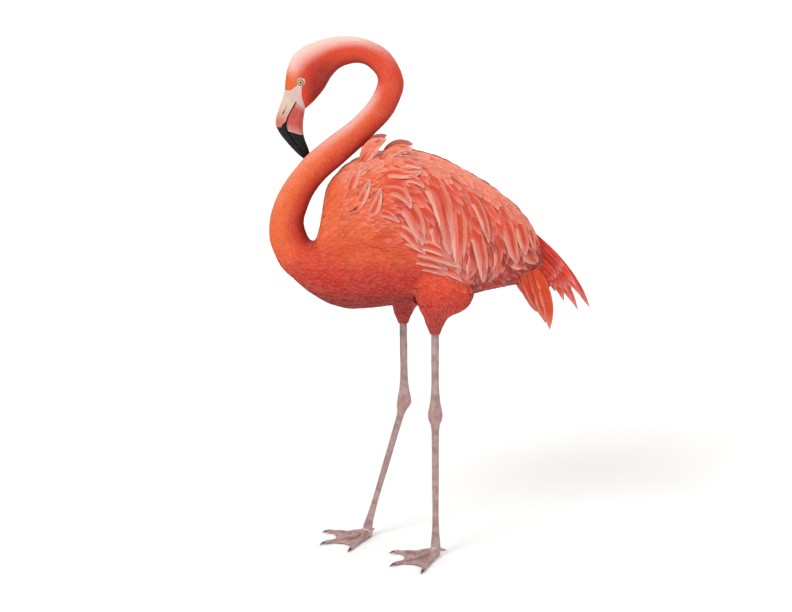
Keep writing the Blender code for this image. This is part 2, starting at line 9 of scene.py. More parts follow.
import bmesh
import bpy
import numpy as np
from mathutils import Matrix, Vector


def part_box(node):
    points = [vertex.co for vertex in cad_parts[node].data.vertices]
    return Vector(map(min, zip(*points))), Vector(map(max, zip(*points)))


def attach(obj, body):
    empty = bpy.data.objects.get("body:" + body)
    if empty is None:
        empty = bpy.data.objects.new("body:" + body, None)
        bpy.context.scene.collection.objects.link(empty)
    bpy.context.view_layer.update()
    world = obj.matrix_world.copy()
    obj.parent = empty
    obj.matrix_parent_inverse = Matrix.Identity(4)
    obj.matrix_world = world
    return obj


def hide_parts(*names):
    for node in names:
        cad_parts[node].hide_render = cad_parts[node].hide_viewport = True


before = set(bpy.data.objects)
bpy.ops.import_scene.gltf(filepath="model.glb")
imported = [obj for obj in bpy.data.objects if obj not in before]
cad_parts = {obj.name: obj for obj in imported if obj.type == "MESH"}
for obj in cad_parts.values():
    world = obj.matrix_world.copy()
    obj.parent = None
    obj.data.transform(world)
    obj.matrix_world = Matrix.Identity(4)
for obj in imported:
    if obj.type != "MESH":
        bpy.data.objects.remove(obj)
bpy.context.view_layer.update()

CM = 0.01
MM = 0.001
LEFT, RIGHT = -1, 1
SIDES = (("left", LEFT), ("right", RIGHT))

# ---------------------------------------------------------------- the construction's shapes

# Cross-sections of the body, from the base of the bill to the tail, in centimetres: the back line's x and
# z, the keel line's x and z, half width, how far aside, where it is widest, fullness
BODY = [
    (-28.6, 93.8, -24.6, 90.1, 1.60, 2.0, 0.50, 2.2),
    (-28.4, 96.0, -23.2, 91.3, 2.15, 2.0, 0.50, 2.2),
    (-27.9, 98.3, -21.8, 92.8, 2.45, 2.0, 0.50, 2.1),
    (-26.8, 100.6, -20.7, 94.2, 2.55, 2.0, 0.50, 2.1),
    (-24.9, 102.2, -20.0, 95.4, 2.52, 2.0, 0.50, 2.0),
    (-22.5, 103.2, -19.3, 96.5, 2.50, 2.0, 0.50, 2.0),
    (-19.7, 104.0, -17.8, 98.0, 2.40, 1.9, 0.50, 2.0),
    (-16.4, 104.3, -15.7, 98.9, 2.35, 1.6, 0.50, 2.0),
    (-12.6, 103.8, -13.3, 99.0, 2.30, 1.2, 0.50, 2.0),
    (-8.0, 101.3, -11.2, 97.7, 2.30, 0.7, 0.50, 2.0),
    (-5.1, 95.8, -10.2, 95.7, 2.35, 0.1, 0.50, 2.0),
    (-6.6, 90.4, -11.4, 92.6, 2.45, -0.4, 0.50, 2.0),
    (-11.2, 85.0, -15.0, 88.5, 2.55, -0.8, 0.50, 2.0),
    (-16.4, 80.2, -20.1, 84.6, 2.75, -1.0, 0.50, 2.0),
    (-21.1, 76.0, -25.4, 80.0, 2.85, -0.9, 0.50, 2.0),
    (-24.2, 70.8, -30.9, 71.6, 3.20, -0.6, 0.50, 2.0),
    (-25.0, 67.4, -32.0, 66.6, 3.40, -0.3, 0.50, 2.0),
    (-23.5, 64.0, -31.2, 61.8, 3.80, -0.1, 0.50, 2.0),
    (-22.2, 64.4, -29.3, 58.2, 5.0, 0.0, 0.50, 2.0),
    (-21.4, 66.4, -27.1, 56.2, 6.4, 0.0, 0.50, 2.0),
    (-21.2, 70.2, -24.4, 53.8, 7.8, 0.0, 0.50, 2.0),
    (-20.6, 74.2, -20.8, 51.6, 8.9, 0.0, 0.50, 2.0),
    (-17.8, 78.2, -16.8, 50.3, 9.7, 0.0, 0.50, 2.0),
    (-13.2, 80.9, -12.2, 50.3, 10.0, 0.0, 0.51, 2.0),
    (-6.8, 82.1, -6.8, 50.9, 10.0, 0.0, 0.52, 2.0),
    (0.4, 81.2, -0.8, 51.4, 9.6, 0.0, 0.53, 2.0),
    (7.4, 77.9, 5.4, 52.4, 8.6, 0.0, 0.54, 2.0),
    (13.8, 73.9, 11.4, 53.8, 7.0, 0.0, 0.55, 2.0),
    (18.7, 69.4, 16.8, 54.9, 4.8, 0.0, 0.55, 2.0),
    (21.6, 64.9, 21.4, 55.8, 3.0, 0.0, 0.52, 2.0),
    (23.4, 60.0, 23.6, 56.8, 1.2, 0.0, 0.50, 2.0),
]
HEAD_END, NECK_END, BODY_END = 5, 17, 30

# Cross-sections of the bill, in centimetres: the ridge's x and z, the meeting line's x and z, the lower
# edge's x and z, and the half widths of the upper and the lower bill
BILL = [
    (-28.6, 93.8, -26.25, 91.55, -24.6, 90.1, 1.52, 1.48),
    (-29.2, 91.9, -26.9, 90.5, -24.75, 89.2, 1.48, 1.58),
    (-29.85, 90.1, -27.6, 89.3, -24.9, 88.1, 1.46, 1.64),
    (-30.4, 88.4, -28.1, 88.1, -25.0, 86.9, 1.44, 1.62),
    (-30.5, 87.0, -28.35, 87.0, -25.0, 85.8, 1.38, 1.54),
    (-29.9, 85.6, -28.1, 85.8, -24.9, 84.8, 1.26, 1.42),
    (-28.6, 83.8, -27.2, 84.3, -24.5, 83.5, 1.04, 1.18),
    (-27.2, 82.2, -26.1, 82.8, -24.05, 82.3, 0.82, 0.92),
    (-26.0, 81.0, -25.2, 81.5, -23.8, 81.2, 0.56, 0.62),
    (-25.0, 80.2, -24.6, 80.5, -24.0, 80.4, 0.28, 0.28),
]
BILL_SIDE = 2.0 * CM

EYE = (-25.3 * CM, 95.4 * CM)
EYE_STATION = 1.5
EYE_SUNK = 4.2 * MM
EYE_RADIUS = 6.2 * MM

# Cross-sections of a thigh, from its top to the end of the boot, in centimetres: height, how far behind
# the leg, half length, how far outside the leg, half width
THIGH = [
    (60.5, 0.9, 4.2, -1.0, 2.6),
    (58.0, 1.5, 5.4, 0.2, 3.4),
    (55.5, 1.8, 5.7, 0.8, 3.6),
    (53.2, 1.8, 5.5, 0.9, 3.5),
    (51.7, 1.6, 4.9, 0.9, 3.2),
    (50.6, 1.0, 3.9, 0.7, 2.8),
    (49.8, 0.4, 2.8, 0.5, 2.2),
    (48.0, 0.0, 1.85, 0.1, 1.6),
    (46.1, 0.0, 1.05, 0.0, 0.95),
]
# Where each leg's boot ends, its ankle and its foot, along and across the body, and the heights of the floor
# and of those places
LEG_LINE = {
    LEFT: ((0.0120, -0.0500), (0.0135, -0.0465), (0.0160, -0.0420)),
    RIGHT: ((-0.0510, 0.0500), (-0.0485, 0.0570), (-0.1265, 0.0660)),
}
FLOOR = -0.015
BOOT_HEIGHT, ANKLE_HEIGHT, TARSUS_END = 0.461, 0.289, 0.026
# The bare leg above and below the ankle: the share of the way down, then half length fore and aft and half
# width in centimetres
SHANK = [
    (0.00, 0.76, 0.64), (0.35, 0.75, 0.62), (0.60, 0.74, 0.60), (0.74, 0.84, 0.70), (0.87, 1.10, 0.88),
    (0.95, 1.38, 1.02), (1.00, 1.47, 1.08),
]
TARSUS = [
    (0.000, 1.47, 1.08), (0.030, 1.36, 1.00), (0.065, 0.98, 0.80), (0.100, 0.80, 0.64), (0.200, 0.72, 0.58),
    (0.500, 0.68, 0.55), (0.880, 0.70, 0.57), (0.950, 0.82, 0.66), (1.000, 0.98, 0.78),
]
MIDDLE_TOE = 0.101
TOE_SPREAD = math.radians(40)
TOES = (("inner", 0.85, -1.0), ("middle", 1.0, 0.0), ("outer", 0.90, 1.0))
FOOT_YAW = {LEFT: math.radians(32), RIGHT: math.radians(-26)}
TOE_BASE_HEIGHT, TOE_END_HEIGHT = 0.0125, 0.0042

# The lower edge of a folded wing: (station of the body, degrees round it from the back)
WING_EDGE = [(21.3, 74), (22.5, 88), (24, 104), (25, 116), (26, 130), (27, 146), (27.7, 134), (28.3, 112),
             (29.0, 84), (29.3, 70)]
WING_TOP = 13
WING_THICKNESS = 0.0135


def smooth(x, start, end):
    """0 before start, 1 past end and smooth between them. start may be the larger."""
    f = np.clip((np.asarray(x, float) - start) / (end - start), 0.0, 1.0)
    return f * f * (3 - 2 * f)


def mix(a, b, f):
    return a + (b - a) * f


def bell(x, middle, width):
    """1 at the middle, falling away on both sides of it."""
    return np.exp(-(((x - middle) / width) ** 2))


def whole_turn(count, ahead=0.0):
    """Angles that share a whole turn equally."""
    return 2 * math.pi * (np.arange(count) + ahead) / count


def half_turn(angle):
    """The same angle between half a turn back and half a turn on."""
    return (angle + math.pi) % (2 * math.pi) - math.pi


def unit(v):
    return v / np.maximum(np.linalg.norm(v, axis=-1, keepdims=True), 1e-12)


class Curve:
    """A smooth curve through the rows of a table, read by row number."""

    def __init__(self, rows, spacing_of):
        self.rows = np.array(rows, float)
        points = np.array([spacing_of(row) for row in self.rows], float)
        self.along = np.concatenate([[0.0], np.cumsum(np.linalg.norm(np.diff(points, axis=0), axis=1))])
        gaps = np.diff(self.along)[:, None]
        rates = np.diff(self.rows, axis=0) / gaps
        inner = (rates[:-1] * gaps[1:] + rates[1:] * gaps[:-1]) / (gaps[:-1] + gaps[1:])
        self.slopes = np.concatenate([rates[:1], inner, rates[-1:]])

    def at(self, number):
        number = np.asarray(number, float)
        i = np.clip(number.astype(int), 0, len(self.rows) - 2)
        f = (number - i)[..., None]
        span = (self.along[i + 1] - self.along[i])[..., None]
        return (
            self.rows[i] * (2 * f**3 - 3 * f**2 + 1)
            + self.slopes[i] * span * (f**3 - 2 * f**2 + f)
            + self.rows[i + 1] * (3 * f**2 - 2 * f**3)
            + self.slopes[i + 1] * span * (f**3 - f**2)
        )


BODY_CURVE = Curve(BODY, lambda row: ((row[0] + row[2]) / 2, (row[1] + row[3]) / 2))
BILL_CURVE = Curve(BILL, lambda row: (row[2], row[3]))
THIGH_CURVE = Curve(THIGH, lambda row: (row[0], row[1]))
SHANK_CURVE, TARSUS_CURVE = (Curve(table, lambda row: (row[0] * 25, row[1])) for table in (SHANK, TARSUS))


def section_point(top, bottom, half_width, side, widest, fullness, angle, out):
    """Points on cross-sections that stand between two side-view points, angle round from the top."""
    gap = top - bottom
    height = np.linalg.norm(gap, axis=-1)
    up = gap / height[..., None]
    level = widest * height
    reach = np.where(np.cos(angle) > 0, height - level, level)
    power = 2 / fullness
    rise = level + np.sign(np.cos(angle)) * np.abs(np.cos(angle)) ** power * (reach + out)
    across = np.sign(np.sin(angle)) * np.abs(np.sin(angle)) ** power * (half_width + out)
    x, z = (bottom[..., k] + up[..., k] * rise for k in (0, 1))
    return np.stack([x, side - across, z], -1)


def eye_centre(side):
    s = BODY_CURVE.at(EYE_STATION) * CM
    return np.array([EYE[0], s[5] + side * (s[4] - EYE_SUNK), EYE[1]])


low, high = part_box("eye_left")
PLACE = (np.array(low) + np.array(high)) / 2 - eye_centre(LEFT)  # from the tables' frame to the model's


def body_at(number, angle, out=0.0):
    """Points on the body. Angle 0 is the back, a quarter turn is the left side, and a half turn the keel."""
    number, angle, out = np.broadcast_arrays(number, angle, out)
    s = BODY_CURVE.at(number)
    back, keel, half_width, side = (s[..., columns] * CM for columns in (slice(0, 2), slice(2, 4), 4, 5))
    return section_point(back, keel, half_width, side, s[..., 6], s[..., 7], angle, out) + PLACE


def side_view(points):
    """The x and z of places on the bird as the tables give them, in centimetres."""
    return ((points - PLACE)[..., k] / CM for k in (0, 2))


def slopes(surface, u, v):
    """How a surface runs with each of its two numbers."""
    step = 1e-3
    along = (surface(u + step, v) - surface(u - step, v)) / (2 * step)
    across = (surface(u, v + step) - surface(u, v - step)) / (2 * step)
    return along, across


def find_side_view(surface, trend, x, z, number, angle, lowest, rounds):
    """The numbers at which a surface has places in side view, found step by step from near ones."""
    for _ in range(rounds):
        at = surface(number, angle)
        along, across = slopes(trend, number, angle)
        dx, dz = x - at[..., 0], z - at[..., 2]
        size = along[..., 0] * across[..., 2] - across[..., 0] * along[..., 2]
        size = np.where(np.abs(size) < 1e-5, 1e-5, size)
        number = number + np.clip((dx * across[..., 2] - across[..., 0] * dz) / size, -0.3, 0.3)
        angle = angle + np.clip((along[..., 0] * dz - dx * along[..., 2]) / size, -0.1, 0.1)
        number = np.clip(number, lowest, BODY_END)
    return number, angle


# ---------------------------------------------------------------- meshes

def srgb(red, green, blue):
    """A linear colour from the 8-bit numbers that a paint chart gives."""
    c = np.array([red, green, blue]) / 255
    return np.where(c <= 0.04045, c / 12.92, ((c + 0.055) / 1.055) ** 2.4)


def mesh_object(name, points, faces, sharp=60):
    """An object from points and a list of face arrays, each of one corner count."""
    mesh = bpy.data.meshes.new(name)
    corners = np.concatenate([np.asarray(f).ravel() for f in faces]).astype(np.int32)
    counts = np.concatenate([np.full(len(f), np.asarray(f).shape[1]) for f in faces])
    starts = np.concatenate([[0], np.cumsum(counts)[:-1]]).astype(np.int32)
    mesh.vertices.add(len(points))
    mesh.vertices.foreach_set("co", np.asarray(points, np.float32).ravel())
    mesh.loops.add(len(corners))
    mesh.loops.foreach_set("vertex_index", corners)
    mesh.polygons.add(len(starts))
    mesh.polygons.foreach_set("loop_start", starts)
    mesh.update(calc_edges=True)
    mesh.shade_smooth()
    if sharp:
        mesh.set_sharp_from_angle(angle=math.radians(sharp))
    obj = bpy.data.objects.new(name, mesh)
    bpy.context.scene.collection.objects.link(obj)
    return obj


def set_attribute(mesh, name, values):
    """A number or a colour for each point of a mesh."""
    values = np.asarray(values, np.float32)
    if values.ndim == 1:
        mesh.attributes.new(name, "FLOAT", "POINT").data.foreach_set("value", values)
    else:
        rgba = np.ones((len(values), 4), np.float32)
        rgba[:, :3] = values
        mesh.attributes.new(name, "FLOAT_COLOR", "POINT").data.foreach_set("color", rgba.ravel())


def read(elements, field, width=1, kind=np.float32):
    """What every element of a mesh holds in a field, a row for each."""
    values = np.empty(len(elements) * width, kind)
    elements.foreach_get(field, values)
    return values.reshape(-1, width)


def set_map(mesh, name, values):
    """A UV map from one pair of numbers for each point."""
    corners = read(mesh.loops, "vertex_index", kind=np.int32)[:, 0]
    layer = mesh.uv_layers.new(name=name)
    layer.uv.foreach_set("vector", np.asarray(values, np.float32)[corners].ravel())


def grid_faces(rows, columns, closed=True):
    """Quads of a grid of points, whose columns join round if it is closed."""
    r, c = np.meshgrid(np.arange(rows - 1), np.arange(columns if closed else columns - 1), indexing="ij")
    a = r * columns + c
    b = r * columns + (c + 1) % columns
    return np.stack([a, b, b + columns, a + columns], -1).reshape(-1, 4)


def fan(first, columns, middle):
    """Triangles from each side of a ring of points to one point."""
    k = np.arange(columns)
    return np.stack([first + k, first + (k + 1) % columns, np.full(columns, middle)], -1)


def outwards(obj):
    """Turns every face of a closed mesh outwards."""
    made = bmesh.new()
    made.from_mesh(obj.data)
    bmesh.ops.recalc_face_normals(made, faces=made.faces)
    if made.calc_volume(signed=True) < 0:
        bmesh.ops.reverse_faces(made, faces=made.faces)
    made.to_mesh(obj.data)
    made.free()
    return obj


def tube(name, rings):
    """A closed tube through rings of points, each end drawn to the middle of its ring."""
    rings = np.asarray(rings)
    rows, columns = rings.shape[:2]
    points = np.concatenate([rings.reshape(-1, 3), rings[0].mean(0)[None], rings[-1].mean(0)[None]])
    count = rows * columns
    ends = [fan(0, columns, count)[:, [1, 0, 2]], fan(count - columns, columns, count + 1)]
    return outwards(mesh_object(name, points, [grid_faces(rows, columns), *ends]))


def union(base, tools):
    """Joins closed meshes to the first of them as one closed skin."""
    for tool in tools:
        modifier = base.modifiers.new("union", "BOOLEAN")
        modifier.operation = "UNION"
        modifier.solver = "MANIFOLD"
        modifier.object = tool
    bpy.context.view_layer.update()
    made = bpy.data.meshes.new_from_object(base.evaluated_get(bpy.context.evaluated_depsgraph_get()))
    base.modifiers.clear()
    base.data = made
    for tool in tools:
        bpy.data.objects.remove(tool)
    return base


# ---------------------------------------------------------------- the skin under the coat

COAT_STATIONS = [0, 0.7, 2, 5, 8, 14, 17, 19, 22, 27, 29, 30]
COAT_DEPTHS = [0.3, 0.9, 1.7, 2.6, 3.2, 3.6, 4.5, 6.5, 8.0, 8.0, 5.5, 3.0]  # in millimetres


def wing_low(number):
    """How far round the body a wing reaches at that station."""
    places, degrees = zip(*WING_EDGE)
    return np.radians(np.interp(number, places, degrees))


def wing_share(number, angle):
    """1 in the middle of a folded wing, falling to 0 at its edges."""
    along = (number - WING_EDGE[0][0]) / (WING_EDGE[-1][0] - WING_EDGE[0][0])
    top = math.radians(WING_TOP)
    down = (np.abs(angle) - top) / (wing_low(number) - top)
    inside = (along > 0) & (along < 1) & (down > 0) & (down < 1)
    ends = np.sin(np.pi * np.clip(along, 0.02, 0.98)) ** 0.4
    return np.where(inside, np.sin(np.pi * np.clip(down, 0, 1)) ** 0.6 * ends, 0.0)


def coat_depth(number, angle):
    """How deep the skin lies under the tips of the feathers."""
    depth = np.interp(number, COAT_STATIONS, COAT_DEPTHS) * MM
    return depth * (1 - 0.75 * bare_face(number, angle))


def bare_face(number, angle):
    """1 on the bare skin between the bill and the eye, 0 among the feathers."""
    x, z = side_view(body_at(number, angle))
    # the feathers' edge runs from the forehead down to the eye, and from the eye down to the chin
    front = z - (93.8 + 0.8 * smooth(x, -27.6, -26.2))
    rear = x - (-25.10 + 0.50 * smooth(z, 92.8, 90.4))
    edge = np.maximum(front, rear)
    ring = np.hypot(x - EYE[0] / CM, z - EYE[1] / CM) - 0.86
    inside = np.minimum(edge, ring)
    return np.where(number < 3.5, 1 - smooth(inside, -0.05, 0.08), 0.0)


def head_form(number, angle):
    """The brow, cheek and lore that a plain loft lacks, as a height over it."""
    x, z = side_view(body_at(number, angle))
    brow = bell(x, -25.6, 1.5) * bell(z, 96.25, 0.45)
    cheek = bell(x, -23.4, 1.3) * bell(z, 93.7, 1.4)
    lore = bell(x, -26.3, 0.7) * bell(z, 93.2, 1.1)
    return np.where(number < 4, 0.7 * brow + 0.3 * cheek - 0.9 * lore, 0.0) * MM


def skin_at(number, angle):
    """How far the skin lies outside the body's cross-sections, less than 0 where it is inside."""
    bulge = wing_share(number, angle) * (WING_THICKNESS - 4 * MM)
    return bulge + head_form(number, angle) - coat_depth(number, angle)


def sunk(number, angle):
    """How much deeper the skin has to lie where the cross-sections run along the surface, as in the notch
    between neck and breast, and the body's outward way there."""
    along, across = slopes(body_at, number, angle)
    normal = unit(np.cross(across, along))
    outward = (body_at(number, angle, MM) - body_at(number, angle)) / MM
    short = 0.85 - np.abs((normal * outward).sum(-1))
    share = smooth(number, 15.5, 16.5) * smooth(number, 23.0, 21.5)
    return np.maximum(short, 0) * coat_depth(number, angle) * share, normal


def body_skin(number, angle):
    deeper, normal = sunk(number, angle)
    return body_at(number, angle, skin_at(number, angle)) - normal * deeper[..., None]


# The socket and lids, turned about the eye's axis: distance from the axis and height over the eye's
# centre, in millimetres, from the lids' outer slope over their rim and down behind the eye
LIDS = [(7.75, 3.10), (7.3, 3.14), (6.9, 3.38), (6.5, 3.70), (6.15, 3.86), (5.85, 3.86), (5.6, 3.74),
        (5.4, 3.56), (5.27, 3.38), (5.2, 3.26), (5.45, 3.08), (5.9, 2.6), (6.35, 1.0), (6.4, -1.0),
        (5.2, -3.9), (2.6, -6.1)]
# How many of those rows the loose skin, the lids that cover the ball, and the corners take up
LOOSE_ROWS, LID_ROWS, CORNER_ROWS = 9, 10, 12
SOCKET_EDGE = 11.0
AROUND_EYE = 72


def head_skin(x, z, side):
    """Points of the head's skin at places in side view."""
    start = np.full(np.shape(x), EYE_STATION), np.full(np.shape(x), -side * math.pi / 2)
    return body_skin(*find_side_view(body_skin, body_skin, x, z, *start, 0, 8))


def eye_patch(side):
    """Rings of points from the head's skin over the lids and down into the socket."""
    centre = eye_centre(side) + PLACE
    turns = whole_turn(AROUND_EYE)
    rings = []
    # the skin runs up to the lids
    for reach in np.linspace(SOCKET_EDGE, 8.0, 9):
        ring = head_skin(centre[0] + reach * MM * np.cos(turns), centre[2] + reach * MM * np.sin(turns), side)
        lid = centre[1] + side * (LIDS[0][1] + 0.25 * (reach - LIDS[0][0])) * MM
        ring[:, 1] = mix(lid, ring[:, 1], smooth(reach, LIDS[0][0] - 0.2, SOCKET_EDGE))
        rings.append(ring)
    folds = 0.05 * np.sin(turns * 9 + 1.0) + 0.03 * np.sin(turns * 23)
    level, upright = np.cos(turns), np.sin(turns)
    for k, (reach, height) in enumerate(LIDS):
        loose = smooth(reach, 5.3, 6.2) * (k < LOOSE_ROWS)
        # the corners of the lids, before and behind the eye
        corner = 0.38 * np.abs(level) ** 14 * smooth(reach, 6.9, 5.3) * (k < CORNER_ROWS)
        # the upper lid comes further down over the eye than the lower one comes up
        droop = np.where(upright > 0, 0.24, 0.12) * upright**2 * smooth(reach, 6.9, 5.7) * (k < LID_ROWS)
        far = (reach + corner + folds * loose) * (1 - droop)
        up = height + folds * 0.8 * loose
        ball = np.sqrt(np.maximum((EYE_RADIUS / MM + 0.02) ** 2 - far**2, 0)) + 0.30 * smooth(far, 5.4, 4.4)
        up = np.where((k < LID_ROWS) & (droop > 0), np.maximum(up, ball + 0.12), up)
        ring = np.stack([far * level, side * up, far * upright], -1)
        rings.append(centre + ring * MM)
    return np.array(rings)


def zipper(first, first_turns, second, second_turns):
    """Triangles between two loops of points, each given by numbers in order of their turn about an axis."""
    faces = []
    i = j = 0
    while i < len(first) or j < len(second):
        next_i = first_turns[i + 1] if i + 1 < len(first) else 2 * math.pi + first_turns[0]
        next_j = second_turns[j + 1] if j + 1 < len(second) else 2 * math.pi + second_turns[0]
        a, b = first[i % len(first)], second[j % len(second)]
        if j >= len(second) or (i < len(first) and next_i <= next_j):
            faces.append((a, first[(i + 1) % len(first)], b))
            i += 1
        else:
            faces.append((a, second[(j + 1) % len(second)], b))
            j += 1
    return faces


def turn_about_eye(points, side):
    centre = eye_centre(side) + PLACE
    return np.arctan2(points[:, 2] - centre[2], points[:, 0] - centre[0]) % (2 * math.pi)


# Stretches of the body's skin, with a ring count each: finer along the face, coarser along the trunk
SKIN_ROWS = ((0, HEAD_END, 76), (HEAD_END, NECK_END, 150), (NECK_END, BODY_END, 110))
# Points round each of those rings, and round the limbs' rings
SKIN_COLUMNS, THIGH_COLUMNS, LEG_COLUMNS = 112, 48, 34
TOE_COLUMNS, HIND_TOE_COLUMNS, CLAW_COLUMNS = 22, 16, 20
# What the skin's colours depend on: the coat's colour, how much of limb, bare face and lid rim a place is,
# the height in a groove, and how flushed it is
SKIN_MARKS = ("tint", "limb", "face", "rim", "groove", "flush")


def mark_skin(piece, **known):
    """Gives each point its marks, coral and 0 where nothing else is known."""
    count = len(piece.data.vertices)
    plain = {"tint": np.tile(CORAL, (count, 1))}
    for name in SKIN_MARKS:
        set_attribute(piece.data, name, known.get(name, plain.get(name, np.zeros(count))))
    return piece


def make_body_skin():
    """The skin of head, neck and trunk, with a hole for each eye that its lids and socket fill."""
    face, neck, trunk = (np.linspace(*stretch) for stretch in SKIN_ROWS)
    stations = np.concatenate([face[:-1], neck[:-1], trunk])
    columns = SKIN_COLUMNS
    numbers, angles = np.meshgrid(stations, half_turn(whole_turn(columns, 0.5)), indexing="ij")
    grid = body_skin(numbers, angles)
    points, quads = grid.reshape(-1, 3), grid_faces(*numbers.shape)
    numbers, angles = numbers.ravel(), angles.ravel()
    # each part has points, their colours, how bare they are, and how near the rim of the lids
    parts = [(points, plumage_and_painted_light(numbers, angles, points), bare_face(numbers, angles), np.zeros(len(points)))]
    faces, total = [], len(points)
    for _, side in SIDES:
        centre = eye_centre(side) + PLACE
        near = np.hypot(points[:, 0] - centre[0], points[:, 2] - centre[2]) < SOCKET_EDGE * MM * 1.05
        near &= (points[:, 1] - centre[1]) * side > -3 * MM
        cut = near[quads].any(axis=1)
        gone, quads = quads[cut], quads[~cut]
        # the hole's edge: the sides that only one of the removed faces has
        sides = {(a, b) for face in gone for a, b in zip(face, np.roll(face, -1))}
        edge = np.array([a for a, b in sides if (b, a) not in sides])
        edge = edge[np.argsort(turn_about_eye(points[edge], side))]
        patch = eye_patch(side)
        order = np.argsort(turn_about_eye(patch[0], side))
        faces.append(zipper(edge, turn_about_eye(points[edge], side), total + order,
                            turn_about_eye(patch[0][order], side)))
        last = total + (len(patch) - 1) * AROUND_EYE
        faces += [grid_faces(len(patch), AROUND_EYE) + total, fan(last, AROUND_EYE, last + AROUND_EYE)]
        bottom = patch[-1].mean(axis=0)[None] + [[0, -side * 0.4 * MM, 0]]
        added = np.concatenate([patch.reshape(-1, 3), bottom])
        count = len(added)
        reach = np.append(np.hypot(patch[..., 0] - centre[0], patch[..., 2] - centre[2]).ravel() / MM, 0.0)
        parts.append((added, np.tile(CORAL, (count, 1)), np.ones(count), smooth(reach, 6.35, 5.75)))
        total += count
    # both ends are closed
    ends = np.stack([grid[0].mean(axis=0), grid[-1].mean(axis=0)])
    parts.append((ends, np.tile(CORAL, (2, 1)), np.array([1.0, 0.0]), np.zeros(2)))
    faces += [fan(0, columns, total), fan(len(points) - columns, columns, total + 1)]
    places, tint, face, rim = (np.concatenate(values) for values in zip(*parts))
    skin = outwards(mesh_object("skin", places, [quads, *faces]))
    return mark_skin(skin, tint=tint, face=face, rim=rim)


# ---------------------------------------------------------------- legs and feet

def thigh_at(number, angle, side, out=0.0):
    """Points on a thigh, angle round from the back of the leg. Number is the row of its table."""
    number, angle, out = np.broadcast_arrays(number, angle, out)
    s = THIGH_CURVE.at(number) * CM
    x = LEG_LINE[side][0][0] + s[..., 1] + np.cos(angle) * (s[..., 2] + out)
    y = LEG_LINE[side][0][1] + side * s[..., 3] + np.sin(angle) * (s[..., 4] + out)
    return np.stack([x, y, s[..., 0]], -1) + PLACE


def thigh_skin_at(number):
    """How far a thigh's skin lies inside it."""
    return -np.interp(number, [0, 4, 6, 7, 8], [6, 6, 4.5, 3.4, 2.2]) * MM


def grooves(distance, pitch):
    """The height of a row of scutes: flat plates with a round narrow groove at each end."""
    f = (distance / pitch) % 1.0
    return -bell(np.minimum(f, 1 - f), 0, 0.11)


SCUTE = 5.2 * MM
TOE_SCUTE = 3.4 * MM
SCUTE_STEPS = np.array([0.0, 0.12, 0.30, 0.5, 0.70, 0.88])
IN_BOOT = 35 * MM  # how far the bare leg runs up inside the boot


def oval(middle, long_way, wide, turns):
    """A level ring of points round a middle."""
    return middle + np.stack([np.cos(turns) * long_way, np.sin(turns) * wide, 0 * turns], -1)


# The joint that carries the toes, in centimetres but for the height: height, half length, half width
HUB = ((TARSUS_END - 3 * MM, 0.98, 0.80), (0.018, 1.06, 0.90), (0.009, 1.04, 0.94), (0.003, 0.92, 0.86),
       (0.0002, 0.74, 0.70))


def leg_rings(side):
    """The bare leg, from inside its boot to the joint of the toes, with its scutes."""
    heights = (BOOT_HEIGHT, ANKLE_HEIGHT, FLOOR + TARSUS_END)
    boot, ankle, foot = (np.array([*spot, height]) for spot, height in zip(LEG_LINE[side], heights))
    upper, lower = np.linalg.norm(ankle - boot), np.linalg.norm(foot - ankle)
    scutes = int((upper + lower + IN_BOOT) / SCUTE)
    distances = (np.arange(scutes)[:, None] + SCUTE_STEPS).ravel() * SCUTE - IN_BOOT
    turns = whole_turn(LEG_COLUMNS)
    rings, cuts = [], []
    for far in distances:
        above = far < upper
        f = far / upper if above else (far - upper) / lower
        curve, *ends = (SHANK_CURVE, boot, ankle) if above else (TARSUS_CURVE, ankle, foot)
        row = np.interp(f, curve.rows[:, 0], np.arange(len(curve.rows)))
        _, long_way, wide = curve.at(row)
        # plates on the front and the back, pebbles on the sides
        on_front = smooth(np.cos(turns), -0.25, -0.62)
        on_back = smooth(np.cos(turns), 0.35, 0.70)
        beads = np.sin(far / (1.3 * MM) + 2.2 * np.cos(turns * 7)) * np.cos(turns * 11 + far * 900)
        beads = 0.5 * beads - 0.5
        joint = bell(far, upper, 0.02)
        knee = joint * 0.35 * np.sin(far / (1.1 * MM) + 2.0 * np.sin(turns * 2)) * (1 - on_front)
        plates = on_front * grooves(far, SCUTE) + on_back * grooves(far + 0.5 * SCUTE, SCUTE) * 0.8
        cuts.append(plates)
        out = (0.30 * plates + 0.12 * beads * (1 - on_front) * (1 - on_back) + 0.25 * knee) * MM
        # the two tendon furrows that run down between front and back
        out = out - 0.45 * MM * (1 - joint) * bell(np.sin(turns) ** 2, 1, 0.25)
        out = out + 0.35 * MM * smooth(np.abs(np.cos(turns)), 0.75, 1.0)
        rings.append(oval(mix(*ends, f), long_way * CM + out, wide * CM + out, turns))
    for height, long_way, wide in HUB:
        rings.append(oval(foot_base(side) + [0, 0, height], long_way * CM, wide * CM, turns))
        cuts.append(0 * turns)
    return np.array(rings) + PLACE, np.array(cuts)


def toe_direction(side, share):
    turn = FOOT_YAW[side] + TOE_SPREAD * share
    return np.array([-math.cos(turn), side * math.sin(turn), 0.0])


def foot_base(side):
    return np.array([*LEG_LINE[side][2], FLOOR])


def toe_height(f):
    """How high a toe's middle is, from its base to its claw."""
    return mix(TOE_END_HEIGHT, TOE_BASE_HEIGHT, (1 - f) ** 4)


def toe_ring(middle, direction, half_width, rise, turns, floor=FLOOR):
    """A ring of points across a toe or a claw, flat where it would pass through the floor."""
    sideways = np.array([-direction[1], direction[0], 0.0])
    ring = middle + sideways * (np.cos(turns) * half_width)[:, None]
    ring[:, 2] = np.maximum(ring[:, 2] + rise, floor)
    return ring


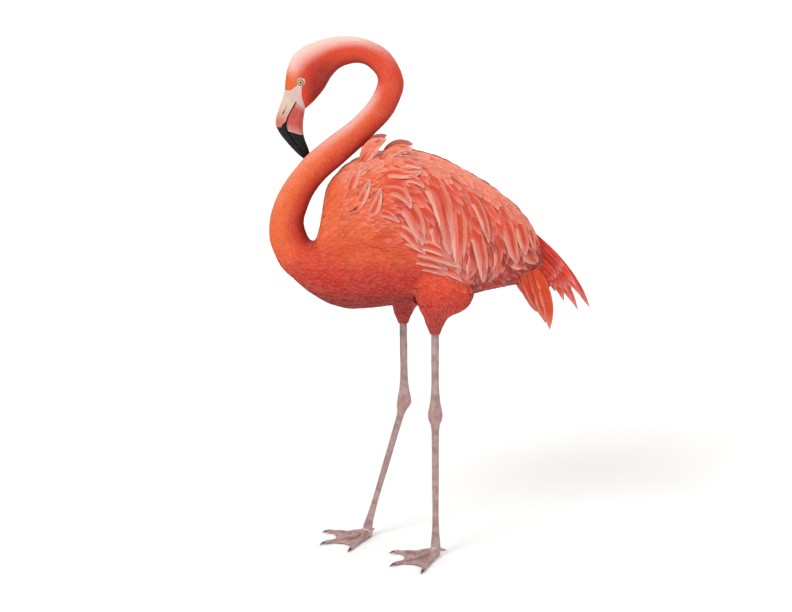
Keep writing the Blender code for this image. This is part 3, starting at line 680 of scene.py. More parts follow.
def toe_rings(side, direction, length):
    """A toe with its joints and scutes, flat where it stands on the floor."""
    plates = int(length / TOE_SCUTE)
    fs = np.concatenate([(np.arange(plates)[:, None] + SCUTE_STEPS[[0, 1, 3, 5]]).ravel() / plates, [1.0]])
    turns = whole_turn(TOE_COLUMNS)
    rings, cuts = [], []
    for f in fs:
        joint = 1 + 0.10 * math.cos(f * 6 * math.pi)
        end = 1 - 0.45 * max(0.0, (f - 0.94) / 0.06) ** 2
        half_height = (0.0078 * (1 - f) ** 3 + 0.0044) * joint * end
        half_width = (0.0052 * (1 - f) ** 2 + 0.0038) * joint * end
        on_top = smooth(np.sin(turns), 0.1, 0.6)
        cuts.append(on_top * grooves(f * plates, 1.0))
        out = 0.26 * MM * cuts[-1]
        pads = 0.22 * MM * smooth(np.sin(turns), 0.1, -0.5) * np.sin(f * plates * math.pi * 1.5)
        rise = toe_height(f) + np.sin(turns) * (half_height + out + pads)
        middle = foot_base(side) + direction * length * f
        rings.append(toe_ring(middle, direction, half_width + out, rise, turns))
    return np.array(rings) + PLACE, np.array(cuts)


def web_rings(side, first, second):
    """The skin between two toes, as flat rings of points from one toe to the other."""
    base = foot_base(side)
    rings = []
    columns, rows = 33, 30
    for c in range(columns):
        across = c / (columns - 1)
        direction = unit(mix(first[0], second[0], across))
        length = mix(first[1], second[1], across)
        reach = length * (0.90 - 0.20 * math.sin(math.pi * across) ** 0.8)
        reach = reach * (1 + 0.006 * math.sin(across * 40))
        far = 0.004 + (reach - 0.004) * np.linspace(0, 1, rows) ** 0.9
        high = 0.0030 + 0.0125 * np.maximum(0.0, 1 - far / 0.045) ** 2
        # folds that fan out from the joint, and a sag between the toes
        folds = 0.28 * MM * np.sin(across * 46 + 9 * far / reach) * smooth(far, 0.01, 0.04)
        folds = folds + 0.16 * MM * np.sin(across * 83 + 3.0) - 0.5 * MM * math.sin(math.pi * across)
        thick = (0.0012 + 0.0022 * abs(2 * across - 1) ** 6) * (1 - 0.45 * smooth(far / reach, 0.8, 1.0))
        upper = base + direction * far[:, None]
        lower = upper.copy()
        upper[:, 2] += high + folds + thick * 0.35
        lower[:, 2] += np.maximum(high + folds - thick * 0.65, 0.0004)
        rings.append(np.concatenate([upper, lower[::-1]]))
    return np.array(rings) + PLACE


def hind_toe_rings(side):
    back = -toe_direction(side, -0.6)
    turns = whole_turn(HIND_TOE_COLUMNS)
    rings = []
    for f in np.linspace(0, 1, 22):
        size = np.interp(f, [0, 0.5, 0.9, 1], [4.6, 4.0, 3.1, 2.4]) * MM + 0.2 * MM * grooves(f * 5, 1.0)
        rise = 0.0165 - 0.0045 * f + np.sin(turns) * size
        rings.append(toe_ring(foot_base(side) + back * (0.002 + 0.016 * f), back, size, rise, turns))
    return np.array(rings) + PLACE


def bare_limb(rings, cuts=0.0, flush=0.0):
    """A closed piece of the bare leg, with its grooves, and pinker round the ankle."""
    piece = tube("limb", rings)
    heights = read(piece.data.vertices, "co", 3)[:, 2]
    groove = np.append(np.broadcast_to(cuts, rings.shape[:2]).ravel(), [0.0, 0.0])
    flush = np.clip(flush + bell(heights, ANKLE_HEIGHT + PLACE[2], 0.022), 0, 1)
    return mark_skin(piece, limb=np.ones(len(heights)), groove=groove, flush=flush)


def make_skin():
    """One closed skin over the head, neck, trunk, thighs, legs and feet."""
    skin = make_body_skin()
    tools = []
    for _, side in SIDES:
        numbers = np.linspace(0, len(THIGH) - 1, 40)
        grid = np.meshgrid(numbers, whole_turn(THIGH_COLUMNS), indexing="ij")
        thigh = tube("thigh", thigh_at(*grid, side, thigh_skin_at(grid[0])))
        tools.append(mark_skin(thigh, tint=thigh_marking(read(thigh.data.vertices, "co", 3))))
        tools.append(bare_limb(*leg_rings(side)))
        toes = [(toe_direction(side, turn), MIDDLE_TOE * share) for _, share, turn in TOES]
        for direction, length in toes:
            tools.append(bare_limb(*toe_rings(side, direction, length), 0.15))
        for first, second in zip(toes, toes[1:]):
            tools.append(bare_limb(web_rings(side, first, second), 0.0, 0.30))
        tools.append(bare_limb(hind_toe_rings(side)))
    skin = union(skin, tools)
    mend_seams(skin.data)
    skin.name = "skin"
    return skin


def mend_seams(mesh):
    """Points that the union made take their marks from the points beside them."""
    a, b = read(mesh.edges, "vertices", 2, np.int32).T
    fields = {name: ("color", 4) if name == "tint" else ("value", 1) for name in SKIN_MARKS}
    marks = {name: read(mesh.attributes[name].data, *field) for name, field in fields.items()}
    known = marks["tint"][:, :3].sum(axis=1) > 0
    for _ in range(6):
        for start, end in ((a, b), (b, a)):
            use = known[start] & ~known[end]
            weight = np.bincount(end[use], minlength=len(known))
            filled = weight > 0
            for values in marks.values():
                total = [np.bincount(end[use], column, len(known)) for column in values[start[use]].T]
                values[filled] = np.stack(total, -1)[filled] / weight[filled, None]
            known = known | filled
    for name, (field, _) in fields.items():
        mesh.attributes[name].data.foreach_set(field, marks[name].ravel())


# ---------------------------------------------------------------- bill, eyes and claws

BILL_TIP = len(BILL) - 1
BILL_OVERLAP = 0.5 * MM  # how far each half runs on past the meeting line
BILL_FULLNESS = 2.3
UPPER_WIDEST, LOWER_WIDEST = 0.10, 0.84
NOSTRIL = ((-28.1, 90.9), (-28.95, 89.2))  # its ends in side view, in centimetres


def nostril_distance(points):
    """How far points are from the nostril's line in side view, in millimetres, and how far along it."""
    start, end = (np.array(p) * 10 for p in NOSTRIL)
    at = (points - PLACE)[..., [0, 2]] / MM
    length = np.linalg.norm(end - start)
    along = (end - start) / length
    far = (at - start) @ along
    nearest = start + np.clip(far, 0, length)[..., None] * along
    return np.linalg.norm(at - nearest, axis=-1), far / length


def down_the_side(angle):
    """0 at a bill half's upper middle and 1 at its lower one."""
    return np.arccos(np.clip(np.cos(angle), -1, 1)) / math.pi


def bill_half(top, bottom, half_width, widest, angle, out):
    return section_point(top, bottom, half_width, BILL_SIDE, widest, BILL_FULLNESS, angle, out) + PLACE


def upper_bill(number, angle):
    """Points on the upper bill, with its nostril grooves, flat ridge and thin overhanging edge."""
    s = BILL_CURVE.at(number) * CM
    ridge, meet = s[..., 0:2], s[..., 2:4]
    meet = meet - unit(ridge - meet) * BILL_OVERLAP
    away, _ = nostril_distance(bill_half(ridge, meet, s[..., 6], UPPER_WIDEST, angle, 0.0))
    on_side = smooth(np.abs(np.sin(angle)), 0.25, 0.6) * (np.cos(angle) > -0.4)
    groove = -0.6 * bell(away, 0, 2.6) - 1.1 * bell(away, 0, 0.95)
    # a shallow channel runs on from each nostril towards the tip, and fine striae along the horn
    down = down_the_side(angle)
    channel = -0.35 * bell(down, 0.27, 0.045) * smooth(number, 1.5, 3.5) * smooth(number, 8, 6)
    striae = 0.05 * np.sin(down * 70 + 2 * np.sin(number * 2.1)) * smooth(number, 1.0, 3.0)
    out = (groove * on_side + channel + striae) * MM * smooth(number, -0.4, 0.1)
    return bill_half(ridge, meet, s[..., 6], UPPER_WIDEST, angle, out)


def lower_bill(number, angle):
    """Points on the deep lower bill, with its keel groove and the comb along its edge."""
    s = BILL_CURVE.at(number) * CM
    meet, under = s[..., 2:4], s[..., 4:6]
    meet = meet + unit(meet - under) * BILL_OVERLAP
    down = down_the_side(angle)
    comb = 0.22 * np.sin(number * 42) * bell(down, 0.16, 0.07) * smooth(number, 1.0, 2.0)
    lip = -0.55 * bell(down, 0.30, 0.05) * smooth(number, 0.3, 1.5) * smooth(number, 8.5, 7)
    keel = -0.6 * bell(down, 1.0, 0.05) * smooth(number, 0.5, 2)
    striae = 0.045 * np.sin(down * 80 + 3 * np.sin(number * 1.7))
    return bill_half(meet, under, s[..., 7], LOWER_WIDEST, angle, (comb + lip + keel + striae) * MM)


def upper_colours(number, down, points):
    """How black and how rosy the upper bill is."""
    # black from the bend to the tip, and up along the edge where the halves meet
    wedge = np.interp(number, [0.3, 1, 2, 2.8, 3.5, 4.2], [0.70, 0.66, 0.60, 0.54, 0.48, 0.38])
    black = np.maximum(number - 4.3, (down - wedge) * 12 * smooth(number, 0.2, 0.9) - 0.08)
    away, slit = nostril_distance(points)
    # the nostril's slit is painted black: painted shade for the dark opening
    black = np.maximum(black, (mix(0.65, 1.15, slit) - away) * 0.4 * (down < 0.6))
    return black, 0.75 * smooth(number, 1.6, 3.6) * smooth(down, 0.75, 0.35)


def lower_colours(number, down, _):
    """How black and how rosy the lower bill is."""
    black = number - (4.9 - 1.2 * smooth(down, 0.30, 0.12) - 0.25 * smooth(down, 0.75, 1.0))
    black = np.maximum(black, (0.30 - down) * 3 * smooth(number, 2.2, 3.8) - 0.25)
    # a drop of rose from the gape to the bend, paler round its edges
    inside = np.minimum(number - 0.02, (4.75 - number) * 0.6)
    rose = smooth(inside, 0.0, 0.10) * (0.55 + 0.45 * smooth(np.minimum(inside, (down - 0.12) * 3), 0.1, 0.9))
    return black, rose * mix(0.6, 1.0, smooth(down, 0.99, 0.80))


def make_bill():
    made = []
    roots, columns = np.array([-0.35, -0.15]), 96
    numbers = np.concatenate([roots, np.linspace(0, BILL_TIP, 190)])
    turns = whole_turn(columns)
    backwards, onwards = np.array([0.65, 0.0, 0.76]), np.array([0.30, 0.0, -0.62])
    for half, shape, colours, slot in (
        ("upper", upper_bill, upper_colours, "bill_pale"), ("lower", lower_bill, lower_colours, "bill_rose"),
    ):
        rings = shape(*np.meshgrid(np.clip(numbers, 0, BILL_TIP), turns, indexing="ij"))
        # the root goes on a little way into the face
        first = rings[2].mean(axis=0)
        for k, number in enumerate(roots):
            rings[k] = first + (rings[2] - first) * (1 + 0.35 * number) - backwards * number * 9 * MM
        # the tip closes round
        last = rings[-1].mean(axis=0)
        caps = [
            mix(last, rings[-1], math.cos(a)) + onwards * math.sin(a) * 2.0 * MM for a in (0.5, 0.95, 1.3)
        ]
        piece = tube(f"bill_{half}", np.concatenate([rings, caps]))
        number = np.concatenate([np.repeat(numbers, columns), np.full(3 * columns, 9.2), [-0.35, 9.3]])
        down = down_the_side(np.concatenate([np.tile(turns, len(rings) + 3), [0.0, 0.0]]))
        black, rose = colours(number, down, read(piece.data.vertices, "co", 3).astype(float))
        for name, values in (("black", black), ("rose", rose), ("number", number)):
            set_attribute(piece.data, name, values)
        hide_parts(f"{half}_bill")
        made.append(piece)
    return made


def make_eyes():
    """Each eye is a ball with a cornea that bulges a little, finest over the iris and the pupil."""
    made = []
    for word, side in SIDES:
        centre = eye_centre(side) + PLACE
        tilts = np.concatenate([np.linspace(0.02, 1.0, 40), np.linspace(1.0, math.pi - 0.05, 22)[1:]])
        tilt, turn = np.meshgrid(tilts, whole_turn(64), indexing="ij")
        radius = EYE_RADIUS - 0.2 * MM + 0.35 * MM * bell(tilt, 0, 0.50)
        away = np.sin(tilt)
        points = np.stack([away * np.cos(turn), side * np.cos(tilt), away * np.sin(turn)], -1)
        ball = tube(f"eyeball_{word}", centre + points * radius[..., None])
        reach = np.append(np.where(tilt < 1.5, away, 1.0).ravel(), [0.0, 1.0])
        set_attribute(ball.data, "reach", reach * EYE_RADIUS / MM)
        set_attribute(ball.data, "round", np.append(turn.ravel(), [0.0, 0.0]))
        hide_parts(f"eye_{word}")
        made.append(ball)
    return made


def claw_rings(base, direction, far, high, length, thick, fall):
    """A blunt claw that sets out from a place on the toe, in metres, with its own sizes in millimetres."""
    turns = whole_turn(CLAW_COLUMNS)
    rings = []
    for f in np.concatenate([[-0.16, -0.06], np.linspace(0.02, 1, 22)]):
        on = max(0.0, f)
        size = thick * (1 - 0.50 * on) * (0.15 + 0.85 * math.sqrt(1 - on**3)) * MM * (0.86 if f < 0 else 1.0)
        arch = thick * 0.5 * f * (1 - f) - fall * on**1.6
        rise = high + arch * MM + np.sin(turns) * size * np.where(np.sin(turns) < 0, 0.55, 0.80)
        middle = base + direction * (far + length * MM * f)
        rings.append(toe_ring(middle, direction, size * 0.86, rise, turns, FLOOR + 0.15 * MM) + PLACE)
    return rings


def make_claws():
    """The blunt flat nails at the ends of the toes."""
    made = []
    for word, side in SIDES:
        claws = [
            (name, toe_direction(side, turn), MIDDLE_TOE * share, toe_height(1.0), 11.3, 3.5, 3.6)
            for name, share, turn in TOES
        ]
        claws.append(("hind", -toe_direction(side, -0.6), 0.018, 0.0120, 5.4, 2.15, 1.5))
        for name, *shape in claws:
            claw = tube(f"nail_{word}_{name}", claw_rings(foot_base(side), *shape))
            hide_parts(f"claw_{word}_{name}")
            made.append(claw)
    return made


# ---------------------------------------------------------------- markings and painted light, shared by skin and coat

PALE = srgb(252, 214, 204)
ORANGE = srgb(236, 108, 48)
CORAL = srgb(222, 70, 36)
RED = srgb(196, 38, 26)
DEEP = srgb(128, 20, 14)
PINK = srgb(232, 118, 92)
MAUVE = srgb(150, 62, 56)
BARE_FACE = srgb(205, 180, 173)


def plumage_and_painted_light(number, angle, points):
    """The colour of the plumage at places on the body, with painted highlight and painted shade worked in."""
    x, z = side_view(points)
    turn = np.abs(angle)
    back, keel = smooth(turn, 1.30, 0.25), smooth(turn, 1.95, 2.85)
    side = 1 - np.maximum(back, keel)
    # the head is orange before the eye and deep red behind it, that red partly painted shade, and pale over
    # the crown and the neck's top, partly painted highlight
    neck = (
        (ORANGE, 0.9 * smooth(x, -25.2, -26.6) * smooth(number, 5, 3.5)),
        (ORANGE, 0.5 * side * smooth(x, -25.4, -26.0) * smooth(number, 5, 3.5)),
        # deep red behind the eye, darkest low down: partly the head's own red, partly painted shade
        (RED, 0.75 * side * smooth(turn, 1.0, 1.8) * smooth(x, -25.2, -22.8) * smooth(number, 6, 4)),
        (DEEP, 0.50 * smooth(turn, 1.3, 2.1) * smooth(x, -24.8, -22.6) * smooth(number, 7, 4.5)),
        # pale over the crown and along the neck's top: partly pale plumage, partly painted highlight
        (PALE, smooth(turn, 1.50, 0.45) * smooth(number, 1.2, 2.8) * smooth(number, 9.9, 7.4)),
        (PALE, 0.35 * side * smooth(turn, 1.5, 0.9) * smooth(number, 2, 3) * smooth(number, 8, 6)),
        # deep red along the throat inside the neck's curve: partly its own deeper red, partly painted shade
        (DEEP, 0.70 * keel * smooth(number, 0.6, 2.0) * smooth(number, 10.5, 8.5)),
        # the lower neck's front is more orange and paler: the orange partly its own, the pale painted
        # highlight
        (ORANGE, 0.5 * smooth(turn, 1.2, 1.9) * smooth(number, 10.5, 11.8)),
        (PALE, 0.70 * smooth(turn, 1.75, 2.7) * smooth(number, 10.0, 11.3) * smooth(number, 16.0, 13.8)),
        # the lower neck's back is redder and deeper: painted shade
        (RED, 0.9 * back * smooth(number, 9.0, 12.0)),
        (DEEP, 0.6 * smooth(turn, 1.1, 0.2) * smooth(number, 9.5, 12.0)),
        # more orange low on the neck's front: partly its own orange, partly painted highlight
        (ORANGE, 0.75 * smooth(turn, 1.0, 2.0) * smooth(number, 12.0, 14.5)),
    )
    # the trunk has orange shoulders over a red breast, is darker below and at the lower rear, partly painted
    # shade, and is mauve towards the vent
    trunk = (
        (ORANGE, 0.70 * smooth(z, 62, 69) * smooth(x, -2, -11)),
        (ORANGE, 0.65 * smooth(turn, 1.0, 0.35) * smooth(x, -12, -4) * smooth(x, 18, 8)),
        (ORANGE, 0.55 * bell(z, 61.5, 2.2) * smooth(x, -22, -12) * smooth(x, 2, -6)),
        (RED, 0.80 * smooth(z, 63, 57) * smooth(x, -31, -24)),
        # darker below and at the lower rear: partly deeper red plumage, partly painted shade
        (DEEP, 0.80 * smooth(z, 57.0, 51.5)),
        (DEEP, 0.75 * smooth(x, 2, 7) * smooth(z, 66, 60)),
        (MAUVE, 0.60 * smooth(x, 6, 11) * smooth(z, 60, 56)),
    )
    colours = []
    for washes in (neck, trunk):
        colour = np.broadcast_to(CORAL, points.shape)
        for other, share in washes:
            colour = mix(colour, other, share[..., None])
        colours.append(colour)
    return mix(*colours, smooth(number, 16.2, 18.5)[..., None])


def thigh_marking(points):
    """The colour of a thigh's feathers: coral, darker and browner down the boot."""
    height = (points - PLACE)[..., 2] / CM
    colour = mix(RED, CORAL, smooth(height, 50, 57)[..., None])
    return mix(colour, DEEP, (0.45 * smooth(height, 51.5, 46.5))[..., None])


# ---------------------------------------------------------------- the coat

ROOT_LEVEL = -0.12  # how far under the skin a feather starts, as a share of the coat's depth


class Ground:
    """A surface that feathers grow on, read by two numbers: one runs along the lie and one goes round."""

    def __init__(self, at, skin, outer, heading, colour, unwrap, turn, sunk=None):
        self.at, self.skin, self.outer, self.turn, self.sunk = at, skin, outer, turn, sunk
        self.heading, self.colour, self.unwrap = heading, colour, unwrap

    def axes(self, u, v):
        """How the ground runs with each number, and its normal."""
        along, across = slopes(self.at, u, v)
        return along, across, unit(np.cross(across, along)) * self.turn

    def spread(self, u_range, v_range, spacing, seed):
        """Places in rows round a part of the ground, spacing(u) apart, each row out of step with the last."""
        draw = np.random.default_rng(seed)
        v = np.linspace(*v_range, 241)
        us, vs = [], []
        u, phase = u_range[0], 0.0
        while u < u_range[1]:
            along, across, _ = self.axes(np.full(v.shape, u), v)
            apart = spacing(u)
            crowd = np.linalg.norm(np.cross(along, across), axis=-1) / apart**2
            share = np.concatenate([[0.0], np.cumsum((crowd[1:] + crowd[:-1]) / 2)]) * (v[1] - v[0])
            count = (np.linalg.norm(across, axis=-1) / apart).mean() * (v[-1] - v[0])
            step = count / share[-1]
            count = max(1, round(count))
            marks = (np.arange(count) + phase + draw.uniform(-0.28, 0.28, count)) / count % 1.0
            vs.append(np.interp(marks, share / share[-1], v))
            us.append(u + step * draw.uniform(-0.42, 0.42, count))
            phase = (phase + 0.5 + draw.uniform(-0.12, 0.12)) % 1.0
            u += step
        return np.concatenate(us), np.concatenate(vs)

    def walk(self, u, v, length, astray, rows):
        """The numbers, row by row, of lines that set out from places on the ground and follow its lie, an
        angle from the way along towards the keel, each a little astray."""
        us, vs = [u], [v]
        for _ in range(rows - 1):
            along, across, normal = self.axes(u, v)
            first = unit(along)
            second = np.cross(normal, first) * -np.sign(v)[:, None]
            turned = (self.heading(u, v) + astray)[:, None]
            move = (first * np.cos(turned) + second * np.sin(turned)) * (length / (rows - 1))[:, None]
            aa, bb, ab = ((p * q).sum(-1) for p, q in ((along, along), (across, across), (along, across)))
            am, bm = (along * move).sum(-1), (across * move).sum(-1)
            size = aa * bb - ab * ab
            u = u + (am * bb - bm * ab) / size
            v = v + (bm * aa - am * ab) / size
            us.append(u)
            vs.append(v)
        return np.array(us), np.array(vs)

    def lift(self, us, vs, reach, top=4.0):
        """The points of lines that rise from just under the skin to reach, where 1 is the coat's outside,
        and the ground's normals there."""
        f = np.linspace(0, 1, len(us))[:, None]
        share = mix(ROOT_LEVEL, reach, 1 - (1 - f) ** top)
        points = self.at(us, vs, mix(self.skin(us, vs), self.outer(us, vs), share))
        if self.sunk is not None:
            deeper, inward = self.sunk(np.clip(us, 0, BODY_END), vs)
            points = points - inward * (deeper * (1 - share))[..., None]
        return points, self.axes(us, vs)[2]


BAKE_PATCH = 0.003  # the side of a feather's patch in its bake map
LONG_ROWS = 10
SPLIT_DEPTH, SPLIT_SHARE = 0.19, 0.16


class Plumage:
    """Feathers gathered into one mesh. Each is a closed vane, arched across, with a flat underside."""

    def __init__(self, seed):
        self.draw = np.random.default_rng(seed)
        self.parts = {key: [] for key in ("points", "tints", "vanes", "patches")}
        self.faces, self.count = {3: [], 4: []}, 0

    def add(self, spine, normal, width, roots, colour, columns, full=0.5, tip=0.35, base=0.45, arch=0.12,
            lag=0.5, fray=0.06, edge=0.3, heart=0.25, heart_colour=DEEP, root=0.28, uneven=0.07):
        """Feathers with these spines, an array of rows, feathers and coordinates. They are broadest at full,
        tip and base are how broad the ends are, lag draws the edges back and fray makes them ragged. The
        last five say how pale the edge is, partly painted highlight, how dark heart and root are, the dark
        root being painted shade where other feathers cover it, and how much the tones differ."""
        rows, count = spine.shape[:2]
        s, c = np.linspace(0, 1, rows), np.linspace(-1, 1, columns)
        ahead = unit(np.gradient(spine, axis=0))
        up = unit(normal - ahead * (normal * ahead).sum(-1, keepdims=True))
        side = np.cross(up, ahead)
        # the outline
        grown = base + (1 - base) * smooth(s, -0.1, full)
        rounded = np.sqrt(np.clip(1 - ((s - full) / (1 - full)) ** 2 * (s > full), 0, 1))
        shape = grown * np.maximum(rounded, tip)
        ragged = 1 + fray * self.draw.normal(size=(rows, 2, count))
        half = shape[:, None, None] * ragged * width / 2
        half = np.where((c < 0)[None, :, None], half[:, :1], half[:, 1:])
        across = c[None, :, None] * half
        if rows > LONG_ROWS:
            # the barbs of long feathers part here and there
            across[:, [0, -1]] *= 1 - SPLIT_DEPTH * (self.draw.random((rows, 2, count)) < SPLIT_SHARE)
        outer = (c**2)[None, :, None] * half
        back = lag * outer * (s**2)[:, None, None]
        back = back + fray * width * self.draw.normal(size=(rows, columns, count)) * (s**3)[:, None, None]
        points = (
            spine[:, None] + side[:, None] * across[..., None] - ahead[:, None] * back[..., None]
            - up[:, None] * (arch * outer)[..., None]
        )
        # colours run from a dark root, painted shade where other feathers cover it, to a paler edge and tip,
        # partly painted highlight, round a redder heart
        down, aside = np.meshgrid(s, c, indexing="ij")
        ends = smooth(down, 0.0, 0.4) * smooth(down, 1.0, 0.6)
        pale = np.maximum(smooth(np.abs(aside - 0.15), 0.45, 1.1), smooth(down, 0.72, 1.0))
        tint = np.broadcast_to(colour, (rows, columns, count, 3))
        for other, share in (
            (DEEP, root * smooth(down, 0.40, 0.0)), (heart_colour, heart * bell(aside, -0.2, 0.42) * ends),
            (PALE, edge * pale * smooth(down, 0.1, 0.6)),
        ):
            tint = mix(tint, other, share[..., None, None])
        tint = tint * (1 + uneven * self.draw.normal(size=(1, 1, count, 1)))
        tint = np.clip(tint * (1 + 0.03 * self.draw.normal(size=(rows, columns, count, 1))), 0, 1)
        # the vane's map starts at the shaft, which the smallest feathers don't show
        length = np.linalg.norm(np.diff(spine, axis=0), axis=-1).sum(0)
        shaft = 0.0 if columns > 3 else 0.2
        down = down[..., None]
        vane = np.stack([across / CM + shaft, down * length / CM], -1)
        patch = np.stack(np.broadcast_arrays((aside[..., None] + 1) / 2, down), -1) - 0.5
        for key, values in zip(self.parts, (points, tint, vane, roots + BAKE_PATCH * patch)):
            values = np.broadcast_to(values, (rows, columns, count, values.shape[-1]))
            self.parts[key].append(values.transpose(2, 0, 1, 3).reshape(-1, values.shape[-1]))
        grid = np.arange(rows * columns).reshape(rows, columns)
        top = np.stack([grid[:-1, :-1], grid[1:, :-1], grid[1:, 1:], grid[:-1, 1:]], -1).reshape(-1, 4)
        under = np.stack([grid[:-1, 0], grid[:-1, -1], grid[1:, -1], grid[1:, 0]], -1)
        root = [(grid[0, 0], grid[0, k], grid[0, k + 1]) for k in range(1, columns - 1)]
        end = [(grid[-1, 0], grid[-1, k + 1], grid[-1, k]) for k in range(1, columns - 1)]
        starts = self.count + np.arange(count)[:, None, None] * rows * columns
        self.faces[4].append((starts + np.concatenate([top, under])).reshape(-1, 4))
        self.faces[3].append((starts + np.array(root + end)).reshape(-1, 3))
        self.count += count * rows * columns

    def make(self, name, slot, *nodes):
        faces = [np.concatenate(part) for part in self.faces.values() if part]
        points, tints, vanes, patches = (np.concatenate(part) for part in self.parts.values())
        piece = mesh_object(name, points, faces)
        set_attribute(piece.data, "tint", tints)
        set_map(piece.data, "OFBake", patches)
        set_map(piece.data, "vane", vanes)
        if nodes:
            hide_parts(*nodes)
        return piece


FILLET = 1.4 * CM
WELL_INSIDE = 8 * MM


def thigh_beside(points):
    """For places on the body: their side, how far they are from the middle of the thigh there along and
    across the body, and the thigh's half length and half width."""
    x, y, z = np.moveaxis(points - PLACE, -1, 0)
    side = np.where(y < 0, LEFT, RIGHT)
    boot_x, boot_y = (np.where(side < 0, LEG_LINE[LEFT][0][k], LEG_LINE[RIGHT][0][k]) for k in (0, 1))
    row = np.interp(-z, -THIGH_CURVE.rows[:, 0] * CM, np.arange(len(THIGH)))
    _, behind, half_length, outside, half_width = np.moveaxis(THIGH_CURVE.at(row) * CM, -1, 0)
    return side, x - boot_x - behind, y - boot_y - side * outside, half_length, half_width


def over_thigh(points, angle, out):
    """How far a place on the body's side moves out so that the coat runs on over the top of a thigh."""
    side, along, across, half_length, half_width = thigh_beside(points)
    level = along / (half_length + out)
    bulge = (half_width + out) * np.sqrt(np.clip(1 - level**2, 0, 1))
    gap = np.where(np.abs(level) < 1, bulge - across * side, -FILLET)
    share = np.clip(0.5 + 0.5 * gap / FILLET, 0, 1)
    z = points[..., 2] - PLACE[2]
    moved = gap * share + FILLET * share * (1 - share)
    moved = moved * smooth(z, 50.2 * CM, 51.2 * CM) * smooth(z, 61.5 * CM, 60 * CM)
    turn = np.abs(angle)
    return np.maximum(moved, 0) * side * smooth(turn, 2.98, 2.85) * smooth(turn, 1.0, 1.2)


def in_thigh(points):
    """Where places of the body lie well inside a thigh."""
    _, along, across, half_length, half_width = thigh_beside(points)
    return np.hypot(along / (half_length - WELL_INSIDE), across / (half_width - WELL_INSIDE)) < 1


def coat_at(number, angle, out=0.0):
    """Points on the body and over the tops of the thighs, and on past its end towards the tail."""
    number, angle, out = np.broadcast_arrays(number, angle, out)
    inside = np.clip(number, 0, BODY_END)
    point = body_at(inside, angle, out) + (number - inside)[..., None] * np.array([0.020, 0.0, -0.022])
    point[..., 1] += over_thigh(point, angle, out)
    return point


def coat_colour(number, angle, points):
    raised = np.abs((coat_at(number, angle) - body_at(np.clip(number, 0, BODY_END), angle))[..., 1])
    share = smooth(raised, 1 * MM, 9 * MM)[..., None]
    return mix(plumage_and_painted_light(number, angle, points), thigh_marking(points), share)


def body_outer(number, angle):
    return wing_share(number, angle) * WING_THICKNESS + head_form(number, angle)


# How the feathers of the trunk lie in side view: x and z in centimetres, and degrees below the tail's way
LIE = [
    (-17, 74, -48), (-19, 67, -28), (-13, 69, -8), (-13, 76, -12), (-9, 80, 0), (-10, 73, -2), (-8, 66, 8),
    (-14, 60, 6), (-22, 60, 4), (-6, 58, 14), (-2, 53, 10), (-4, 74, 28), (-3, 80, 22), (1, 75, 52),
    (2, 68, 68), (0, 63, 48), (4, 60, 72), (7, 76, 42), (6, 69, 72), (9, 63, 80), (10, 57, 78), (11, 71, 58),
    (14, 66, 68), (14, 60, 76), (17, 68, 54), (18, 62, 62), (21, 64, 52), (22, 59, 40), (12, 53, 14),
    (18, 56, 10), (-2, 56, 18), (1, 56, 30), (4, 57, 42), (7, 57, 60), (3, 54, 52), (7, 54, 72), (0, 53, 34),
]


def lie(number, angle):
    """The way the feathers of head, neck and trunk point, as an angle from the way along towards the keel."""
    x, z = side_view(body_at(number, angle))
    places_x, places_z, degrees = np.array(LIE, float).T
    weight = 1 / ((x[..., None] - places_x) ** 2 + (z[..., None] - places_z) ** 2 + 3) ** 2
    wanted = np.radians((weight * degrees).sum(-1) / weight.sum(-1))
    along, _ = slopes(coat_at, number, angle)
    now = np.arctan2(-along[..., 2], along[..., 0])
    turn = np.abs(angle)
    share = smooth(number, 18.5, 21.0) * smooth(turn, 0.12, 0.6) * smooth(turn, math.pi - 0.1, math.pi - 0.5)
    return np.clip(wanted - now, -1.5, 1.5) * share


def on_map(angle, share):
    """A place on a bake map that an edge is left free round, from an angle and a share of the length."""
    return np.stack([0.5 + 0.96 * angle / (2 * math.pi), 0.02 + 0.96 * share], -1)


def body_map(number, angle):
    """A feather's place on the unwrapped skin, from its root's place on the body."""
    return on_map(half_turn(angle), number / BODY_END)


BODY_GROUND = Ground(coat_at, skin_at, body_outer, lie, coat_colour, body_map, 1, sunk)


def by_station(table):
    """A size in metres by station, from stations and millimetres."""
    return lambda u: np.interp(u, *table) * MM


def grow(coat, ground, u_range, v_range, spacing, length, width, rows, columns, stray, seed, keep=None,
         reach=(0.85, 1.15), tone=None, **look):
    """Grows feathers over a part of a ground, with spacing, length and width by station in millimetres."""
    u, v = ground.spread(u_range, v_range, by_station(spacing), seed)
    if keep is not None:
        kept = keep(u, v)
        u, v = u[kept], v[kept]
    long_way = by_station(length)(u) * coat.draw.uniform(0.85, 1.15, len(u))
    wide = by_station(width)(u) * coat.draw.uniform(0.88, 1.12, len(u))
    us, vs = ground.walk(u, v, long_way, np.radians(stray) * coat.draw.normal(size=len(u)), rows)
    spine, normal = ground.lift(us, vs, coat.draw.uniform(*reach, len(u)))
    if ground is BODY_GROUND:
        clear = off_lids(us[-1], vs[-1], 0.70)
        u, v, wide = u[clear], v[clear], wide[clear]
        us, vs, spine, normal = us[:, clear], vs[:, clear], spine[:, clear], normal[:, clear]
    colour = ground.colour(us[-1], vs[-1], spine[-1])
    if tone is not None:
        colour = mix(colour, *tone)
        # the wing's lower rear is darker red, like the flank below it: partly painted shade
        x, z = side_view(spine[-1])
        colour = mix(colour, mix(RED, DEEP, 0.65), (0.90 * smooth(z, 63, 60) * smooth(x, 8, 12))[..., None])
    coat.add(spine, normal, wide, ground.unwrap(u, v), colour, columns, **look)


